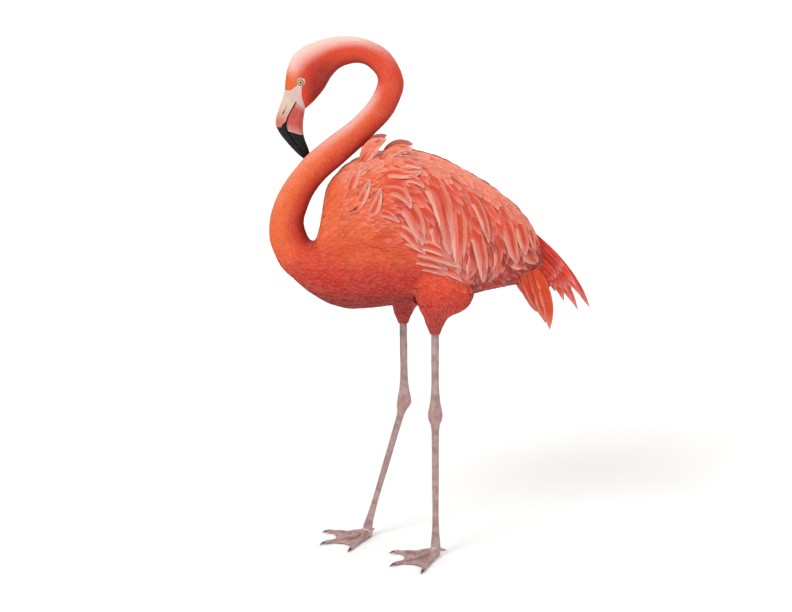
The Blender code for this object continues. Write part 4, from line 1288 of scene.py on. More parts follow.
def off_lids(number, angle, reach):
    """Where a place on the body is clear of the lids, by a reach from the eye's middle in centimetres."""
    x, z = side_view(coat_at(number, angle))
    return (number > 3) | (np.hypot(x - EYE[0] / CM, z - EYE[1] / CM) > reach)


def in_wing(u, v, margin=0.0):
    inside = (np.abs(v) > math.radians(WING_TOP) + margin) & (np.abs(v) < wing_low(u) - margin)
    return inside & (u > WING_EDGE[0][0] + margin) & (u < WING_EDGE[-1][0])


def covered(u, v):
    """Where feathers grow on the body: not on bare skin, not under the wings."""
    under = (np.abs(v) > 2.88) & in_thigh(body_at(np.clip(u, 0, BODY_END), v))
    return (bare_face(u, v) < 0.4) & off_lids(u, v, 0.80) & ~in_wing(u, v, math.radians(11)) & ~under


# root sets how dark each feather's root is, painted shade where other feathers cover it, and edge how pale
# its edge and tip are, partly painted highlight
SOFT = {"rows": 4, "columns": 3, "stray": 4, "edge": 0.06, "heart": 0.08, "root": 0.16, "uneven": 0.035,
        "arch": 0.22, "reach": (0.88, 1.02)}
BROAD = {"rows": 5, "columns": 5, "stray": 6, "edge": 0.08, "heart": 0.15, "root": 0.22, "uneven": 0.05,
         "reach": (0.82, 1.05)}
# Parts of the body's coat: the stations they reach over, then spacing, length and width by station
BODY_COATS = (
    ("head", (0.0, 5.3), ([0, 2, 5.3], [1.15, 1.4, 2.0]), ([0, 1, 3, 5.3], [3.4, 4.6, 6.6, 8.8]),
     ([0, 2, 5.3], [2.1, 2.5, 3.4]), SOFT),
    ("neck_upper", (5.2, 11.2), ([5, 11], [2.4, 2.9]), ([5, 11], [9.0, 12.5]), ([5, 11], [3.8, 5.0]), SOFT),
    ("neck_lower", (11.0, 17.1), ([11, 17], [2.9, 4.0]), ([11, 17], [12.5, 17.0]), ([11, 17], [5.0, 6.8]),
     SOFT),
    ("breast", (16.8, 22.4), ([17, 19, 22], [4.2, 5.4, 6.2]), ([17, 19, 22], [17, 24, 30]),
     ([17, 19, 22], [6.6, 9.2, 11.4]), BROAD),
    ("belly", (22.2, 29.9), ([22, 28, 30], [6.6, 6.6, 5.5]), ([22, 28, 30], [30, 30, 21]),
     ([22, 28, 30], [11.6, 11.4, 8.5]), BROAD),
)
WHOLE_TURN = (-math.pi, math.pi)


def make_body_coat():
    """Small soft feathers on the head, longer ones down the neck, and broad ones on the trunk."""
    made = []
    for seed, (part, stations, *sizes, look) in enumerate(BODY_COATS, 1):
        coat = Plumage(seed)
        grow(coat, BODY_GROUND, stations, WHOLE_TURN, *sizes, keep=covered, seed=seed, **look)
        made.append(coat.make(f"coat_{part}", "plumage"))
    # the broad smooth feathers of the mantle, over the wings' upper edges
    coat = Plumage(9)
    grow(coat, BODY_GROUND, (21.6, 29.3), (-0.66, 0.66), ([21, 29], [9.5, 9.0]), ([21, 24, 29], [34, 46, 42]),
         ([21, 24, 29], [14, 18, 16]), 9, 7, stray=4, seed=9, reach=(0.9, 1.2), edge=0.22,
         heart=0.15, root=0.2, uneven=0.04, tone=(mix(ORANGE, PALE, 0.35), 0.55))
    made.append(coat.make("coat_mantle", "plumage"))
    return made


# The long plumes of a folded wing, each a line in side view through four points, its width, all in
# centimetres, its layer, and how red it is
PLUMES = [
    ((-5.1, 78.7), (0.0, 76.3), (2.5, 70.7), (3.8, 63.1), 3.6, 3, 0.5),
    ((2.5, 76.3), (5.0, 72.5), (5.9, 65.5), (5.8, 59.1), 2.9, 2, 0.2),
    ((6.9, 69.1), (8.6, 65.1), (8.3, 60.7), (7.3, 57.9), 2.6, 1, 0.8),
    ((6.5, 71.3), (8.8, 67.1), (10.4, 61.9), (10.8, 56.9), 2.2, 2, 0.3),
    ((9.6, 71.5), (12.3, 67.1), (13.3, 61.9), (11.7, 57.1), 1.9, 1, 0.3),
    ((6.1, 75.3), (8.5, 72.5), (10.4, 68.7), (11.5, 65.1), 1.8, 4, 0.3),
    ((13.3, 68.7), (14.6, 64.5), (14.4, 60.7), (13.1, 58.1), 1.8, 0, 1.0),
    ((11.2, 73.9), (14.4, 69.1), (16.2, 64.3), (17.3, 60.5), 2.5, 2, 0.3),
    ((14.6, 71.9), (17.3, 67.9), (18.5, 64.3), (19.1, 61.9), 2.4, 3, 0.3),
    ((17.5, 69.5), (19.5, 66.5), (20.2, 64.5), (20.8, 62.9), 1.7, 2, 0.2),
    ((-10.5, 71.5), (-4.9, 72.1), (-2.4, 68.7), (-1.4, 65.1), 2.8, 4, 0.6),
    ((-10.3, 79.7), (-7.4, 81.0), (-4.3, 80.7), (-2.0, 79.7), 1.7, 5, 0.2),
    ((-7.8, 78.7), (-5.4, 79.5), (-3.3, 79.1), (-1.4, 78.3), 1.6, 4, 0.3),
    ((-10.3, 76.1), (-7.8, 77.5), (-4.9, 77.1), (-1.6, 77.5), 1.8, 5, 0.2),
    ((-8.1, 75.1), (-5.1, 76.5), (-2.9, 76.3), (-1.2, 74.9), 1.6, 4, 0.3),
    ((-10.5, 74.1), (-7.4, 74.7), (-5.1, 73.7), (-3.7, 71.5), 2.0, 5, 0.4),
    ((-12.4, 80.2), (-9.7, 82.2), (-6.8, 82.6), (-4.7, 81.9), 2.6, 5, 0.1),
    ((16.6, 65.5), (18.6, 63.2), (20.4, 61.0), (21.6, 59.3), 2.6, 0, 1.0),
    ((14.2, 64.0), (16.2, 61.8), (18.0, 59.8), (19.4, 58.4), 2.6, 0, 1.0),
    ((-2.0, 73.5), (0.6, 70.0), (1.6, 66.0), (1.8, 62.5), 2.8, 1, 0.9),
    ((3.4, 72.0), (4.6, 67.5), (4.6, 63.0), (4.0, 60.0), 2.6, 0, 0.9),
    ((10.4, 68.0), (11.6, 64.5), (11.9, 61.0), (11.3, 58.2), 2.2, 0, 1.0),
    ((15.0, 69.0), (16.4, 65.8), (17.0, 62.6), (16.6, 59.8), 2.4, 0, 0.9),
    ((-7.4, 69.4), (-5.1, 69.2), (-2.7, 67.9), (-0.4, 65.3), 1.5, 3, 0.5),
    ((-8.1, 68.0), (-5.4, 67.7), (-3.5, 66.1), (-1.9, 63.7), 1.6, 3, 0.4),
    ((-7.0, 65.5), (-4.7, 65.7), (-2.7, 64.9), (-0.8, 63.3), 1.4, 3, 0.3),
    ((-5.8, 63.7), (-2.3, 65.1), (1.2, 64.5), (4.3, 61.8), 2.0, 4, 0.1),
    ((-5.4, 62.3), (-1.9, 63.3), (2.0, 62.5), (5.9, 60.6), 1.8, 5, 0.0),
    ((-5.0, 61.0), (-2.3, 61.6), (0.8, 61.2), (3.5, 60.0), 1.6, 4, 0.2),
    ((-4.3, 59.6), (-1.5, 60.2), (1.2, 59.8), (3.2, 58.8), 1.5, 3, 0.3),
    ((-1.1, 61.0), (1.6, 60.8), (4.3, 59.8), (6.3, 58.0), 1.9, 4, 0.3),
    ((-11.6, 69.8), (-9.7, 70.8), (-7.8, 70.4), (-6.0, 69.2), 1.4, 2, 0.1),
    ((-15.1, 70.8), (-13.6, 72.3), (-12.4, 74.3), (-11.4, 76.6), 1.7, 2, 0.0),
    ((-13.6, 69.4), (-11.2, 70.8), (-10.1, 72.7), (-9.5, 75.1), 1.7, 2, 0.0),
    ((-16.6, 72.0), (-15.5, 74.3), (-14.3, 77.0), (-13.1, 79.3), 1.8, 2, 0.0),
]
# Plumes that stand up from the shoulders: the station and degrees round the body of the root, the bend and
# the tip in side view in centimetres, and the half width
SHOULDER_PLUMES = (
    (22.95, 24, (-12.0, 83.8), (-8.5, 84.7), 1.25), (23.6, 26, (-7.0, 83.9), (-3.2, 82.8), 0.8),
)


def on_side(x, z, side):
    """The body's number and angle at places in side view."""
    net = np.meshgrid(np.linspace(17.5, 29.8, 76), -side * np.radians(np.arange(8, 172, 3)), indexing="ij")
    known = (body_at(*net) - PLACE)[..., [0, 2]].reshape(-1, 2)
    wanted = np.stack([x.ravel(), z.ravel()], -1)
    nearest = ((wanted[:, None] - known) ** 2).sum(-1).argmin(1)
    number, angle = (n.ravel()[nearest].reshape(x.shape) for n in net)
    return find_side_view(lambda u, v: body_at(u, v) - PLACE, coat_at, x, z, number, angle, NECK_END, 4)


def bezier(points, f):
    """The places at f on the curve through the first and last points that bends towards those between."""
    points = np.array(points, float)[:, None]
    while len(points) > 1:
        points = mix(points[:-1], points[1:], f[:, None])
    return points[0]


def strands(coat, spine, normal, width, roots, colour, red, shares, rows):
    """Long plumes, each a broad vane with narrower locks over it that end one after another."""
    count = spine.shape[1]
    aside = np.cross(unit(normal), unit(np.gradient(spine, axis=0)))
    coat.add(spine, normal, width, roots, mix(colour, RED, 0.45 + 0.3 * red), 9, full=0.60, tip=0.30,
             base=0.50, arch=0.22, lag=0.8, fray=0.03, edge=0.50, heart=0.6, heart_colour=RED)
    f = np.linspace(0, 1, rows)[:, None, None]
    for share, tone in shares:
        ends = coat.draw.uniform(0.74, 0.99, count)
        number = f[:, 0] * ends * (len(spine) - 1)
        low = np.clip(number.astype(int), 0, len(spine) - 2)
        part, one = (number - low)[..., None], np.arange(count)
        line, over, beside = (mix(g[low, one], g[low + 1, one], part) for g in (spine, normal, aside))
        over = unit(over)
        off = (share + coat.draw.uniform(-0.05, 0.05, count)) * width
        line = line + beside * (off * np.sin(np.pi * (0.10 + 0.78 * f[:, 0] * ends)))[..., None]
        line = line + over * (0.9 * MM * smooth(f, 0.0, 0.3) - 1.4 * MM * share**2)
        hue = mix(colour, RED if tone < 0 else PALE, abs(tone))
        coat.add(line, over, width * coat.draw.uniform(0.34, 0.46, count), roots, hue, 5, full=0.5, tip=0.12,
                 base=0.35, arch=0.16, lag=0.9, fray=0.04, edge=0.28, heart=0.25, heart_colour=RED)


# The locks over a plume: how far off its middle, and how pale, partly painted highlight along one side, or,
# below 0, how red
LOCKS = ((-0.36, 0.42), (0.34, 0.14), (-0.18, 0.08), (0.17, -0.55), (0.0, -0.75))


def in_side_view(line, y):
    """Points from places in side view in centimetres and how far they lie across the bird."""
    x, z = np.moveaxis(line, -1, 0) * CM
    return np.stack([x, np.broadcast_to(y, x.shape), z], -1) + PLACE


def wing_plumes(coat, side):
    rows = 15
    table = np.array([[*a, *b, *c, *d, *rest] for a, b, c, d, *rest in PLUMES])
    points = table[:, :8].reshape(-1, 4, 2) + coat.draw.normal(size=(len(table), 1, 2)) * 0.12
    width, layer, red = table[:, 8:].T
    f, marks = np.linspace(0, 1, rows), np.linspace(0, 1, 4)
    # the cubic through four points an equal share apart
    basis = [np.prod([(f - b) / (a - b) for b in marks if b != a], axis=0) for a in marks]
    lines = np.einsum("kr,nkc->rnc", basis, points) * CM
    us, vs = on_side(lines[..., 0], lines[..., 1], side)
    spine, normal = BODY_GROUND.lift(us, vs, 0.96 + 0.09 * layer, 3.0)
    colour = mix(mix(PINK, ORANGE, 0.50), RED, 0.45 * red[:, None])
    strands(coat, spine, normal, width * 1.05 * CM, body_map(us[0], vs[0]), colour, red[:, None], LOCKS, rows)
    for number, degrees, bend, tip, half_width in SHOULDER_PLUMES:
        angle = math.radians(degrees) * -side
        start = body_at(number, angle, 3.5 * MM)
        root = np.array([*side_view(start)])
        for share, down in ((1.0, 0.0), (0.80, 0.45), (0.62, 0.85)):
            end = mix(root, np.array(tip), share) - [0.0, down * 0.7]
            line = bezier((root, np.array(bend) - [0.0, down * 0.8], end), f)
            spine = in_side_view(line, start[1] - PLACE[1] + side * (0.4 * f + 0.1 * down) * CM)
            normal = np.broadcast_to([0.0, side, 0.25], spine.shape)
            strands(coat, spine[:, None], normal[:, None], np.array([half_width * 2 * CM]),
                    body_map(np.array([number]), np.array([angle])),
                    mix(PINK, ORANGE, 0.85 - 0.4 * down)[None], np.zeros((1, 1)), LOCKS[:3], rows)


def make_wings():
    made = []
    for k, (word, side) in enumerate(SIDES):
        coat = Plumage(31 + k)
        span = (0.1, 2.62) if side == LEFT else (-2.62, -0.1)
        # the coverts, narrow and long
        grow(coat, BODY_GROUND, (21.4, 29.3), span, ([21, 24, 29], [6.6, 8.4, 8.4]),
             ([21, 23, 25, 29], [28, 42, 50, 44]), ([21, 24, 29], [9.5, 13, 12.5]), 8, 5, 6, 21 + k,
             lambda u, v: in_wing(u, v, math.radians(1)), reach=(0.75, 1.0), arch=0.18,
             tone=(mix(PINK, ORANGE, 0.5), 0.42), edge=0.20, heart=0.4, heart_colour=RED, fray=0.06,
             full=0.45, tip=0.15)
        # long narrow plumes beneath those of the table
        grow(coat, BODY_GROUND, (23.2, 28.7), span, ([23, 29], [13, 12]), ([23, 24, 29], [60, 88, 64]),
             ([23, 29], [16, 15]), 11, 5, 5, 25 + k, lambda u, v: in_wing(u, v, math.radians(20)),
             reach=(0.92, 1.08), arch=0.20, tip=0.15, full=0.55, tone=(mix(CORAL, PINK, 0.35), 0.6),
             edge=0.25, heart=0.6, heart_colour=RED, fray=0.04, uneven=0.10)
        wing_plumes(coat, side)
        made.append(coat.make(f"plumage_wing_{word}", "wing", f"wing_{word}"))
    return made


# The flight feathers that reach past the body, in side view in centimetres: the tips of the primaries, the
# roots and bends of the highest and lowest, and how far they lie from the bird's middle
PRIMARY_ENDS = np.array([
    (32.6, 50.4), (31.0, 52.6), (30.2, 49.9), (28.9, 51.6), (27.3, 51.9), (25.4, 53.8), (24.2, 54.7),
])
PRIMARY_ROOTS = np.array([(19.6, 66.2), (22.0, 57.0)])
PRIMARY_BENDS = np.array([(27.9, 59.3), (24.4, 56.0)])
PRIMARY_SIDE = ((0.5, 2.6), (0.3, 1.4))
TAIL_REAR = ((22.6, 58.4), (25.1, 52.0), (24.6, 45.8))
TAIL_FRONT = ((15.8, 58.2), (19.2, 51.6), (23.2, 46.6))
TAIL_HALF_WIDTH = (2.9, 1.3)
# broad feathers that lie flat on the tail's sides, outermost last
TAIL_SIDE = (
    ((21.4, 58.2), (24.2, 53.0), (24.5, 46.1)), ((20.0, 58.6), (22.4, 53.2), (23.6, 47.4)),
    ((18.4, 58.4), (20.4, 54.2), (22.0, 49.8)), ((21.0, 58.8), (23.2, 55.4), (23.9, 51.4)),
)


def flight_feathers(coat, spines, normal, width, red, station, hue=CORAL, **look):
    """Long narrow feathers that reach past the body, each of a width and a redness between two limits."""
    spine, count = np.stack(spines, 1), len(spines)
    wide = coat.draw.uniform(*width, count)
    colour = mix(hue, RED, mix(*red, coat.draw.random((count, 1))))
    roots = body_map(np.full(count, station), np.arctan2(PLACE[1] - spine[0, :, 1], 0.05))
    shape = {"full": 0.45, "tip": 0.10, "base": 0.6, "arch": 0.10, "lag": 1.1, "fray": 0.02, "edge": 0.30,
             "heart": 0.4, "heart_colour": RED, "root": 0.15, **look}
    coat.add(spine, np.broadcast_to(normal, spine.shape), wide, roots, colour, 9, **shape)


def make_primaries():
    made = []
    f = np.linspace(0, 1, 16)
    last = len(PRIMARY_ENDS) - 1
    for k, (word, side) in enumerate(SIDES):
        coat = Plumage(41 + k)
        # the primaries, then shorter secondaries between and over them
        for share, out, odd in ((1.0, 0.0, 0.0), (0.78, 1.4 * MM, 0.5), (0.55, 2.4 * MM, 0.25)):
            spines = []
            for c in range(last if odd else last + 1):
                down = (c + odd) / last
                end = mix(PRIMARY_ENDS[c], PRIMARY_ENDS[min(c + 1, last)], odd)
                root, bend = mix(*PRIMARY_ROOTS, down), mix(*PRIMARY_BENDS, down)
                at_root, at_tip = (mix(*pair, down) for pair in PRIMARY_SIDE)
                y = mix(at_root, at_tip, f * share) * CM + out * np.sin(np.pi * (0.2 + 0.6 * f))
                spines.append(in_side_view(bezier((root, bend, end), f * share), side * y))
            flight_feathers(coat, spines, (0.1, side, 0.15), (0.0155, 0.0185), (0.9, 0.3), 27.5)
        made.append(coat.make(f"plumage_primaries_{word}", "flight_feather", f"primaries_{word}"))
    return made


def make_tail():
    f = np.linspace(0, 1, 14)
    coat = Plumage(51)
    count = 13
    turns = np.radians(np.linspace(-76, 76, count))
    for layer, (share, out) in enumerate(((1.0, 0.0), (0.72, 1.3), (0.50, 2.2), (0.30, 3.0))):
        around = turns + (math.radians(6) if layer % 2 else 0.0)
        length = (1 - 0.30 * (around / math.radians(84)) ** 2) * share
        length = length * np.where((np.arange(count) + layer) % 2, 1.0, 0.93)
        away = np.stack([np.cos(around), np.sin(around), np.full(count, 0.35)], -1)
        lifted = (out * MM * np.sin(np.pi * (0.25 + 0.6 * f)))[:, None]
        spines = []
        for turn, reach, way in zip(around, length, away):
            rear, front = (bezier(points, f * reach) for points in (TAIL_REAR, TAIL_FRONT))
            line = in_side_view(mix(front, rear, math.cos(turn)),
                                math.sin(turn) * mix(*TAIL_HALF_WIDTH, f * reach) * CM)
            spines.append(line + way * lifted)
        width = np.array([0.016, 0.019]) * (1 - 0.15 * layer)
        flight_feathers(coat, spines, away, width, (0.0, 0.7), 29.0 - layer * 0.3,
                        mix(CORAL, ORANGE, 0.4), tip=0.16)
    for _, side in SIDES:
        y = mix(*TAIL_HALF_WIDTH, f**1.5) * CM
        spines = [
            in_side_view(bezier(points, f), side * (y + (1.5 + 1.2 * k) * MM))
            for k, points in enumerate(TAIL_SIDE)
        ]
        flight_feathers(coat, spines, (0.1, side, 0.25), (0.021, 0.025), (0.0, 0.6), 28.7,
                        mix(CORAL, ORANGE, 0.3), tip=0.12)
    return [coat.make("plumage_tail", "flight_feather", "tail")]


def thigh_ground(side):
    """A thigh as a ground, whose feathers point straight down and on past its end."""

    def at(number, angle, out=0.0):
        inside = np.clip(number, 0, len(THIGH) - 1)
        past = (number - inside)[..., None] * np.array([0.0, 0.0, -0.018])
        return thigh_at(inside, angle, side, out) + past

    def level(number, _):
        return 0.0 * number

    return Ground(
        at=at, skin=lambda number, _: thigh_skin_at(number), outer=level, heading=level,
        colour=lambda *places: thigh_marking(places[-1]),
        unwrap=lambda number, angle: on_map(angle, number / len(THIGH)), turn=-1,
    )


def make_thigh_coat():
    """Short feathers that point down the thighs and end round the bare legs."""
    made = []
    for k, (word, side) in enumerate(SIDES):
        coat = Plumage(61 + k)
        grow(coat, thigh_ground(side), (0.3, 7.75), WHOLE_TURN, ([0, 5, 8], [5.0, 4.4, 2.4]),
             ([0, 5, 7, 8], [21, 18, 12, 7]), ([0, 5, 8], [8.0, 7.2, 3.8]), 5, 5, 6, 61 + k,
             lambda u, v, side=side: (u > 2.2) | (np.sin(v) * side < 0.15), edge=0.12, heart=0.15, root=0.2,
             uneven=0.05)
        made.append(coat.make(f"coat_thigh_{word}", "plumage"))
    return made


# ---------------------------------------------------------------- materials

class Look:
    """A material, with short calls that add its nodes."""

    def __init__(self, name, **finish):
        self.made = bpy.data.materials.new(name)
        self.made.use_nodes = True
        self.tree = self.made.node_tree
        self.shader = self.tree.nodes["Principled BSDF"]
        for key, value in finish.items():
            self.shader.inputs[key.replace("_", " ").title().replace("Ior", "IOR")].default_value = value

    def node(self, kind, inputs, **settings):
        made = self.tree.nodes.new("ShaderNode" + kind)
        for key, value in settings.items():
            setattr(made, key, value)
        for key, value in inputs.items():
            self.put(made.inputs[key], value)
        return made

    def put(self, socket, value):
        if isinstance(value, bpy.types.NodeSocket):
            self.tree.links.new(value, socket)
        elif hasattr(value, "__len__") and len(value) == 3 and socket.type == "RGBA":
            socket.default_value = (*value, 1.0)
        else:
            socket.default_value = value

    def attribute(self, name):
        made = self.node("Attribute", {}, attribute_name=name)
        return made.outputs["Color" if name == "tint" else "Fac"]

    def place(self):
        return self.node("TexCoord", {}).outputs["Object"]

    def noise(self, scale, detail=3.0, vector=None, rough=0.55):
        inputs = {"Scale": scale, "Detail": detail, "Roughness": rough, "Vector": vector or self.place()}
        return self.node("TexNoise", inputs).outputs["Fac"]

    def cells(self, scale, vector=None, feature="F1"):
        inputs = {"Scale": scale, "Vector": vector or self.place()}
        return self.node("TexVoronoi", inputs, feature=feature).outputs["Distance"]

    def sum(self, operation, a, b=0.0, c=0.0):
        return self.node("Math", {0: a, 1: b, 2: c}, operation=operation).outputs[0]

    def step(self, value, start, end, low=0.0, high=1.0):
        inputs = {"Value": value, "From Min": start, "From Max": end, "To Min": low, "To Max": high}
        return self.node("MapRange", inputs, interpolation_type="SMOOTHSTEP").outputs[0]

    def blend(self, share, a, b):
        return self.node("Mix", {0: share, 6: a, 7: b}, data_type="RGBA").outputs[2]

    def times(self, a, b):
        return self.sum("MULTIPLY", a, b)

    def stretched(self, scale):
        return self.node("Mapping", {"Vector": self.place(), "Scale": scale}).outputs[0]

    def finish(self, colour, rough=None, height=None, depth=0.0, strength=1.0):
        """Joins the colour, the roughness and a relief to the shader, and returns the material."""
        self.put(self.shader.inputs["Base Color"], colour)
        if rough is not None:
            self.put(self.shader.inputs["Roughness"], rough)
        if height is not None:
            bump = self.node("Bump", {"Height": height, "Distance": depth, "Strength": strength})
            self.put(self.shader.inputs["Normal"], bump.outputs[0])
        return self.made


def skin_look():
    """Pale bare skin on the face, pinkish grey scutes on the legs, and down of the coat's colours between."""
    look = Look("skin", roughness=0.6, specular_ior_level=0.35)
    limb, face = look.attribute("limb"), look.attribute("face")
    mottle = look.noise(70, 4)
    fine = look.noise(600, 3)
    coat = look.blend(0.25, look.attribute("tint"), (0.40, 0.03, 0.02))
    leg = look.blend(look.step(mottle, 0.3, 0.7), srgb(158, 126, 123), srgb(190, 166, 160))
    crease = look.cells(520, feature="DISTANCE_TO_EDGE")
    leg = look.blend(look.step(crease, 0.0, 0.12, 0.35, 0.0), leg, srgb(140, 88, 84))
    groove = look.step(look.attribute("groove"), -0.9, -0.25, 0.6, 0.0)
    leg = look.blend(groove, leg, srgb(122, 76, 74))
    leg = look.blend(look.times(look.attribute("flush"), 0.14), leg, srgb(206, 116, 108))
    bare = look.blend(look.step(mottle, 0.35, 0.7), BARE_FACE, srgb(222, 184, 176))
    bare = look.blend(look.step(fine, 0.45, 0.75, 0.0, 0.25), bare, srgb(196, 160, 158))
    bare = look.blend(look.times(look.attribute("rim"), 0.80), bare, srgb(70, 38, 36))
    colour = look.blend(limb, look.blend(face, coat, bare), leg)
    pleats = look.cells(380, look.stretched((1.0, 0.35, 0.55)))
    wrinkles = look.sum("ADD", look.times(look.noise(420, 5), 0.8), look.times(look.times(pleats, face), 1.6))
    height = look.sum("ADD", look.times(look.step(crease, 0.0, 0.25), limb), wrinkles)
    return look.finish(colour, look.step(fine, 0.3, 0.7, 0.48, 0.66), height, 0.25 * MM)


def bill_look():
    """Keratin: cream at the base, rose on the lower bill, black from the bend to the tip."""
    look = Look("bill", specular_ior_level=0.22, coat_weight=0.06, coat_roughness=0.25)
    number = look.attribute("number")
    grain = look.noise(1.0, 4, look.stretched((260, 260, 60)))
    blotch = look.noise(90, 3)
    pale = look.blend(look.step(number, 0.0, 3.6), srgb(212, 190, 172), srgb(212, 168, 146))
    pale = look.blend(look.step(blotch, 0.4, 0.8, 0.0, 0.4), pale, srgb(214, 176, 166))
    pale = look.blend(look.step(number, 0.0, 0.7), BARE_FACE, pale)
    rosy = look.blend(look.step(grain, 0.3, 0.7), srgb(202, 92, 86), srgb(178, 68, 64))
    colour = look.blend(look.attribute("rose"), pale, rosy)
    colour = look.blend(look.step(grain, 0.45, 0.75, 0.0, 0.18), colour, srgb(150, 90, 80))
    edge = look.sum("ADD", look.attribute("black"), look.times(look.sum("SUBTRACT", grain, 0.5), 0.16))
    horn = look.blend(look.step(grain, 0.35, 0.8), (0.002, 0.0018, 0.002), (0.011, 0.009, 0.009))
    colour = look.blend(look.step(edge, -0.05, 0.05), colour, horn)
    rough = look.sum("ADD", look.step(blotch, 0.3, 0.7, 0.26, 0.40), look.times(grain, 0.08))
    return look.finish(colour, rough, grain, 0.18 * MM, 0.7)


def eye_look():
    """A pale yellow iris with fine spokes, a dark rim and a round black pupil."""
    look = Look("eye", roughness=0.04, specular_ior_level=0.1, coat_weight=0.5, coat_roughness=0.02)
    reach, turn = look.attribute("reach"), look.attribute("round")
    spot = look.node("CombineXYZ", {0: look.sum("SINE", turn), 1: look.sum("COSINE", turn),
                                    2: look.times(reach, 0.10)}).outputs[0]
    spokes = look.noise(9.0, 4, spot, 0.7)
    iris = look.blend(look.step(spokes, 0.35, 0.65), srgb(214, 176, 84), srgb(250, 232, 160))
    iris = look.blend(look.step(reach, 3.0, 2.2), iris, srgb(190, 140, 60))
    iris = look.blend(look.step(reach, 4.3, 5.0), iris, srgb(70, 44, 26))
    colour = look.blend(look.step(reach, 2.36, 2.22), iris, (0.003, 0.003, 0.004))
    return look.finish(colour)


def claw_look():
    """Dark brownish horn."""
    look = Look("claw", specular_ior_level=0.5)
    grain = look.noise(700, 4)
    colour = look.blend(look.step(grain, 0.3, 0.75), srgb(38, 30, 30), srgb(92, 74, 70))
    return look.finish(colour, look.step(grain, 0.3, 0.7, 0.32, 0.5), grain, 0.15 * MM)


def feather_look():
    """Vanes with fine barbs that slant from a pale shaft, in the colours of the coat."""
    look = Look("feathers", roughness=0.62, specular_ior_level=0.10, sheen_weight=0.01, sheen_roughness=0.45)
    parted = look.node("SeparateXYZ", {0: look.node("UVMap", {}, uv_map="vane").outputs[0]})
    across, along = parted.outputs[0], parted.outputs[1]
    away = look.sum("ABSOLUTE", across)
    slant = look.sum("SUBTRACT", along, look.times(away, 0.95))
    loose = look.noise(160, 3)
    phase = look.sum("MULTIPLY_ADD", slant, 95.0, look.times(loose, 5.0))
    barbs = look.sum("MULTIPLY_ADD", look.sum("SINE", phase), 0.5, 0.5)
    shaft = look.step(away, 0.034, 0.010)
    colour = look.blend(look.times(barbs, 0.18), look.attribute("tint"), (0.28, 0.014, 0.008))
    colour = look.blend(look.step(look.noise(38, 3), 0.40, 0.75, 0.0, 0.035), colour, PALE)
    colour = look.blend(look.times(shaft, 0.20), colour, PALE)
    height = look.sum("ADD", look.times(barbs, 0.5), shaft)
    return look.finish(colour, look.step(loose, 0.3, 0.7, 0.52, 0.72), height, 0.22 * MM, 0.8)


# ---------------------------------------------------------------- the studio

CAMERA_HEIGHT, CAMERA_AWAY, CAMERA_ASIDE = 1.10, 2.80, -0.066
CAMERA_PITCH = math.radians(11.98)
FIELD = 0.560787  # the view's width at a distance of one
SENSOR = 36
FLOOR_REACH, WALL_BEND, WALL_HEIGHT = 5.0, 3.5, 7.0
BIRD = (-0.03, 0.0, 0.62)
# Soft boxes: name, place, what it is aimed at, width and power. A large one stands high on the left, a broad
# weak one on the right and one behind the bird, and the last lights the wall.
SOFT_BOXES = (
    ("key", (-2.2, -2.4, 3.5), BIRD, 1.6, 80), ("fill", (2.8, -2.2, 1.8), BIRD, 2.4, 12),
    ("rim", (1.2, 2.6, 2.8), BIRD, 1.8, 28), ("wash", (0.0, 2.8, 4.2), (0.0, 8.5, 2.0), 3.0, 130),
)


def place_object(name, data, spot):
    made = bpy.data.objects.new(name, data)
    made.location = spot
    bpy.context.scene.collection.objects.link(made)
    return made


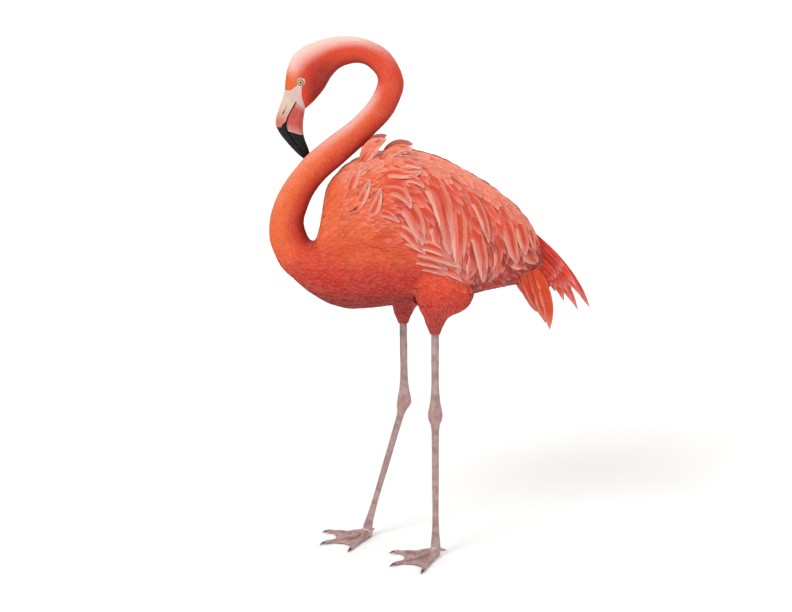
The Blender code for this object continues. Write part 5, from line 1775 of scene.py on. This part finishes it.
def make_studio():
    camera = place_object("camera", bpy.data.cameras.new("camera"),
                          np.array([CAMERA_ASIDE, -CAMERA_AWAY, CAMERA_HEIGHT]) + PLACE)
    camera.rotation_euler = (math.pi / 2 - CAMERA_PITCH, 0, 0)
    camera.data.sensor_width = SENSOR
    camera.data.lens = SENSOR / FIELD
    bpy.context.scene.camera = camera
    for name, spot, target, size, power in SOFT_BOXES:
        light = place_object(name, bpy.data.lights.new(name, "AREA"), spot)
        light.data.shape = "DISK"
        light.data.size = size
        light.data.energy = power
        aim = np.array(target) - np.array(spot)
        tilt = math.atan2(math.hypot(aim[0], aim[1]), -aim[2])
        light.rotation_euler = (tilt, 0, math.atan2(-aim[0], aim[1]))
    world = bpy.data.worlds.new("studio")
    world.use_nodes = True
    sky = world.node_tree.nodes["Background"]
    sky.inputs["Color"].default_value = (1.0, 0.99, 0.98, 1.0)
    sky.inputs["Strength"].default_value = 0.88
    bpy.context.scene.world = world
    bpy.context.scene.view_settings.view_transform = "Standard"
    make_floor()


def make_floor():
    """A flat floor that turns up into a round wall, so that no edge of it shows from any side."""
    columns = 96
    bend = np.linspace(0, math.pi / 2, 25)[1:]
    reach = [0.5, 2.0, FLOOR_REACH, *(FLOOR_REACH + WALL_BEND * np.sin(bend)), FLOOR_REACH + WALL_BEND]
    height = [0.0, 0.0, 0.0, *(WALL_BEND * (1 - np.cos(bend))), WALL_HEIGHT]
    turns = whole_turn(columns)
    rings = np.array([oval([0, 0, z], r, r, turns) for r, z in zip(reach, height)])
    points = np.concatenate([rings.reshape(-1, 3), np.zeros((1, 3))])
    disk = fan(0, columns, len(points) - 1)[:, [1, 0, 2]]
    floor = mesh_object("floor", points, [grid_faces(len(rings), columns), disk])
    look = Look("floor", specular_ior_level=0.2, roughness=0.8)
    tone = look.blend(look.step(look.noise(1.5, 2), 0.3, 0.7), (0.86, 0.86, 0.86), (0.88, 0.88, 0.88))
    floor.data.materials.append(look.finish(tone))


# ---------------------------------------------------------------- the bird

def finish_piece(piece, look):
    piece.data.materials.clear()
    piece.data.materials.append(look)
    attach(piece, "root")


def main():
    make_studio()
    skin = make_skin()
    finish_piece(skin, skin_look())
    lengths = ["head", "neck_top", "neck_bend", "neck_middle", "neck_base", "breast", "trunk", "rump"]
    limbs = [f"{part}_{word}" for part in ("thigh", "shank", "tarsus", "foot") for word, _ in SIDES]
    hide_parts(*lengths, *limbs)
    for make_look, *makers in (
        (feather_look, make_body_coat, make_wings, make_primaries, make_tail, make_thigh_coat),
        (bill_look, make_bill), (eye_look, make_eyes), (claw_look, make_claws),
    ):
        look = make_look()
        for make in makers:
            for piece in make():
                finish_piece(piece, look)


main()
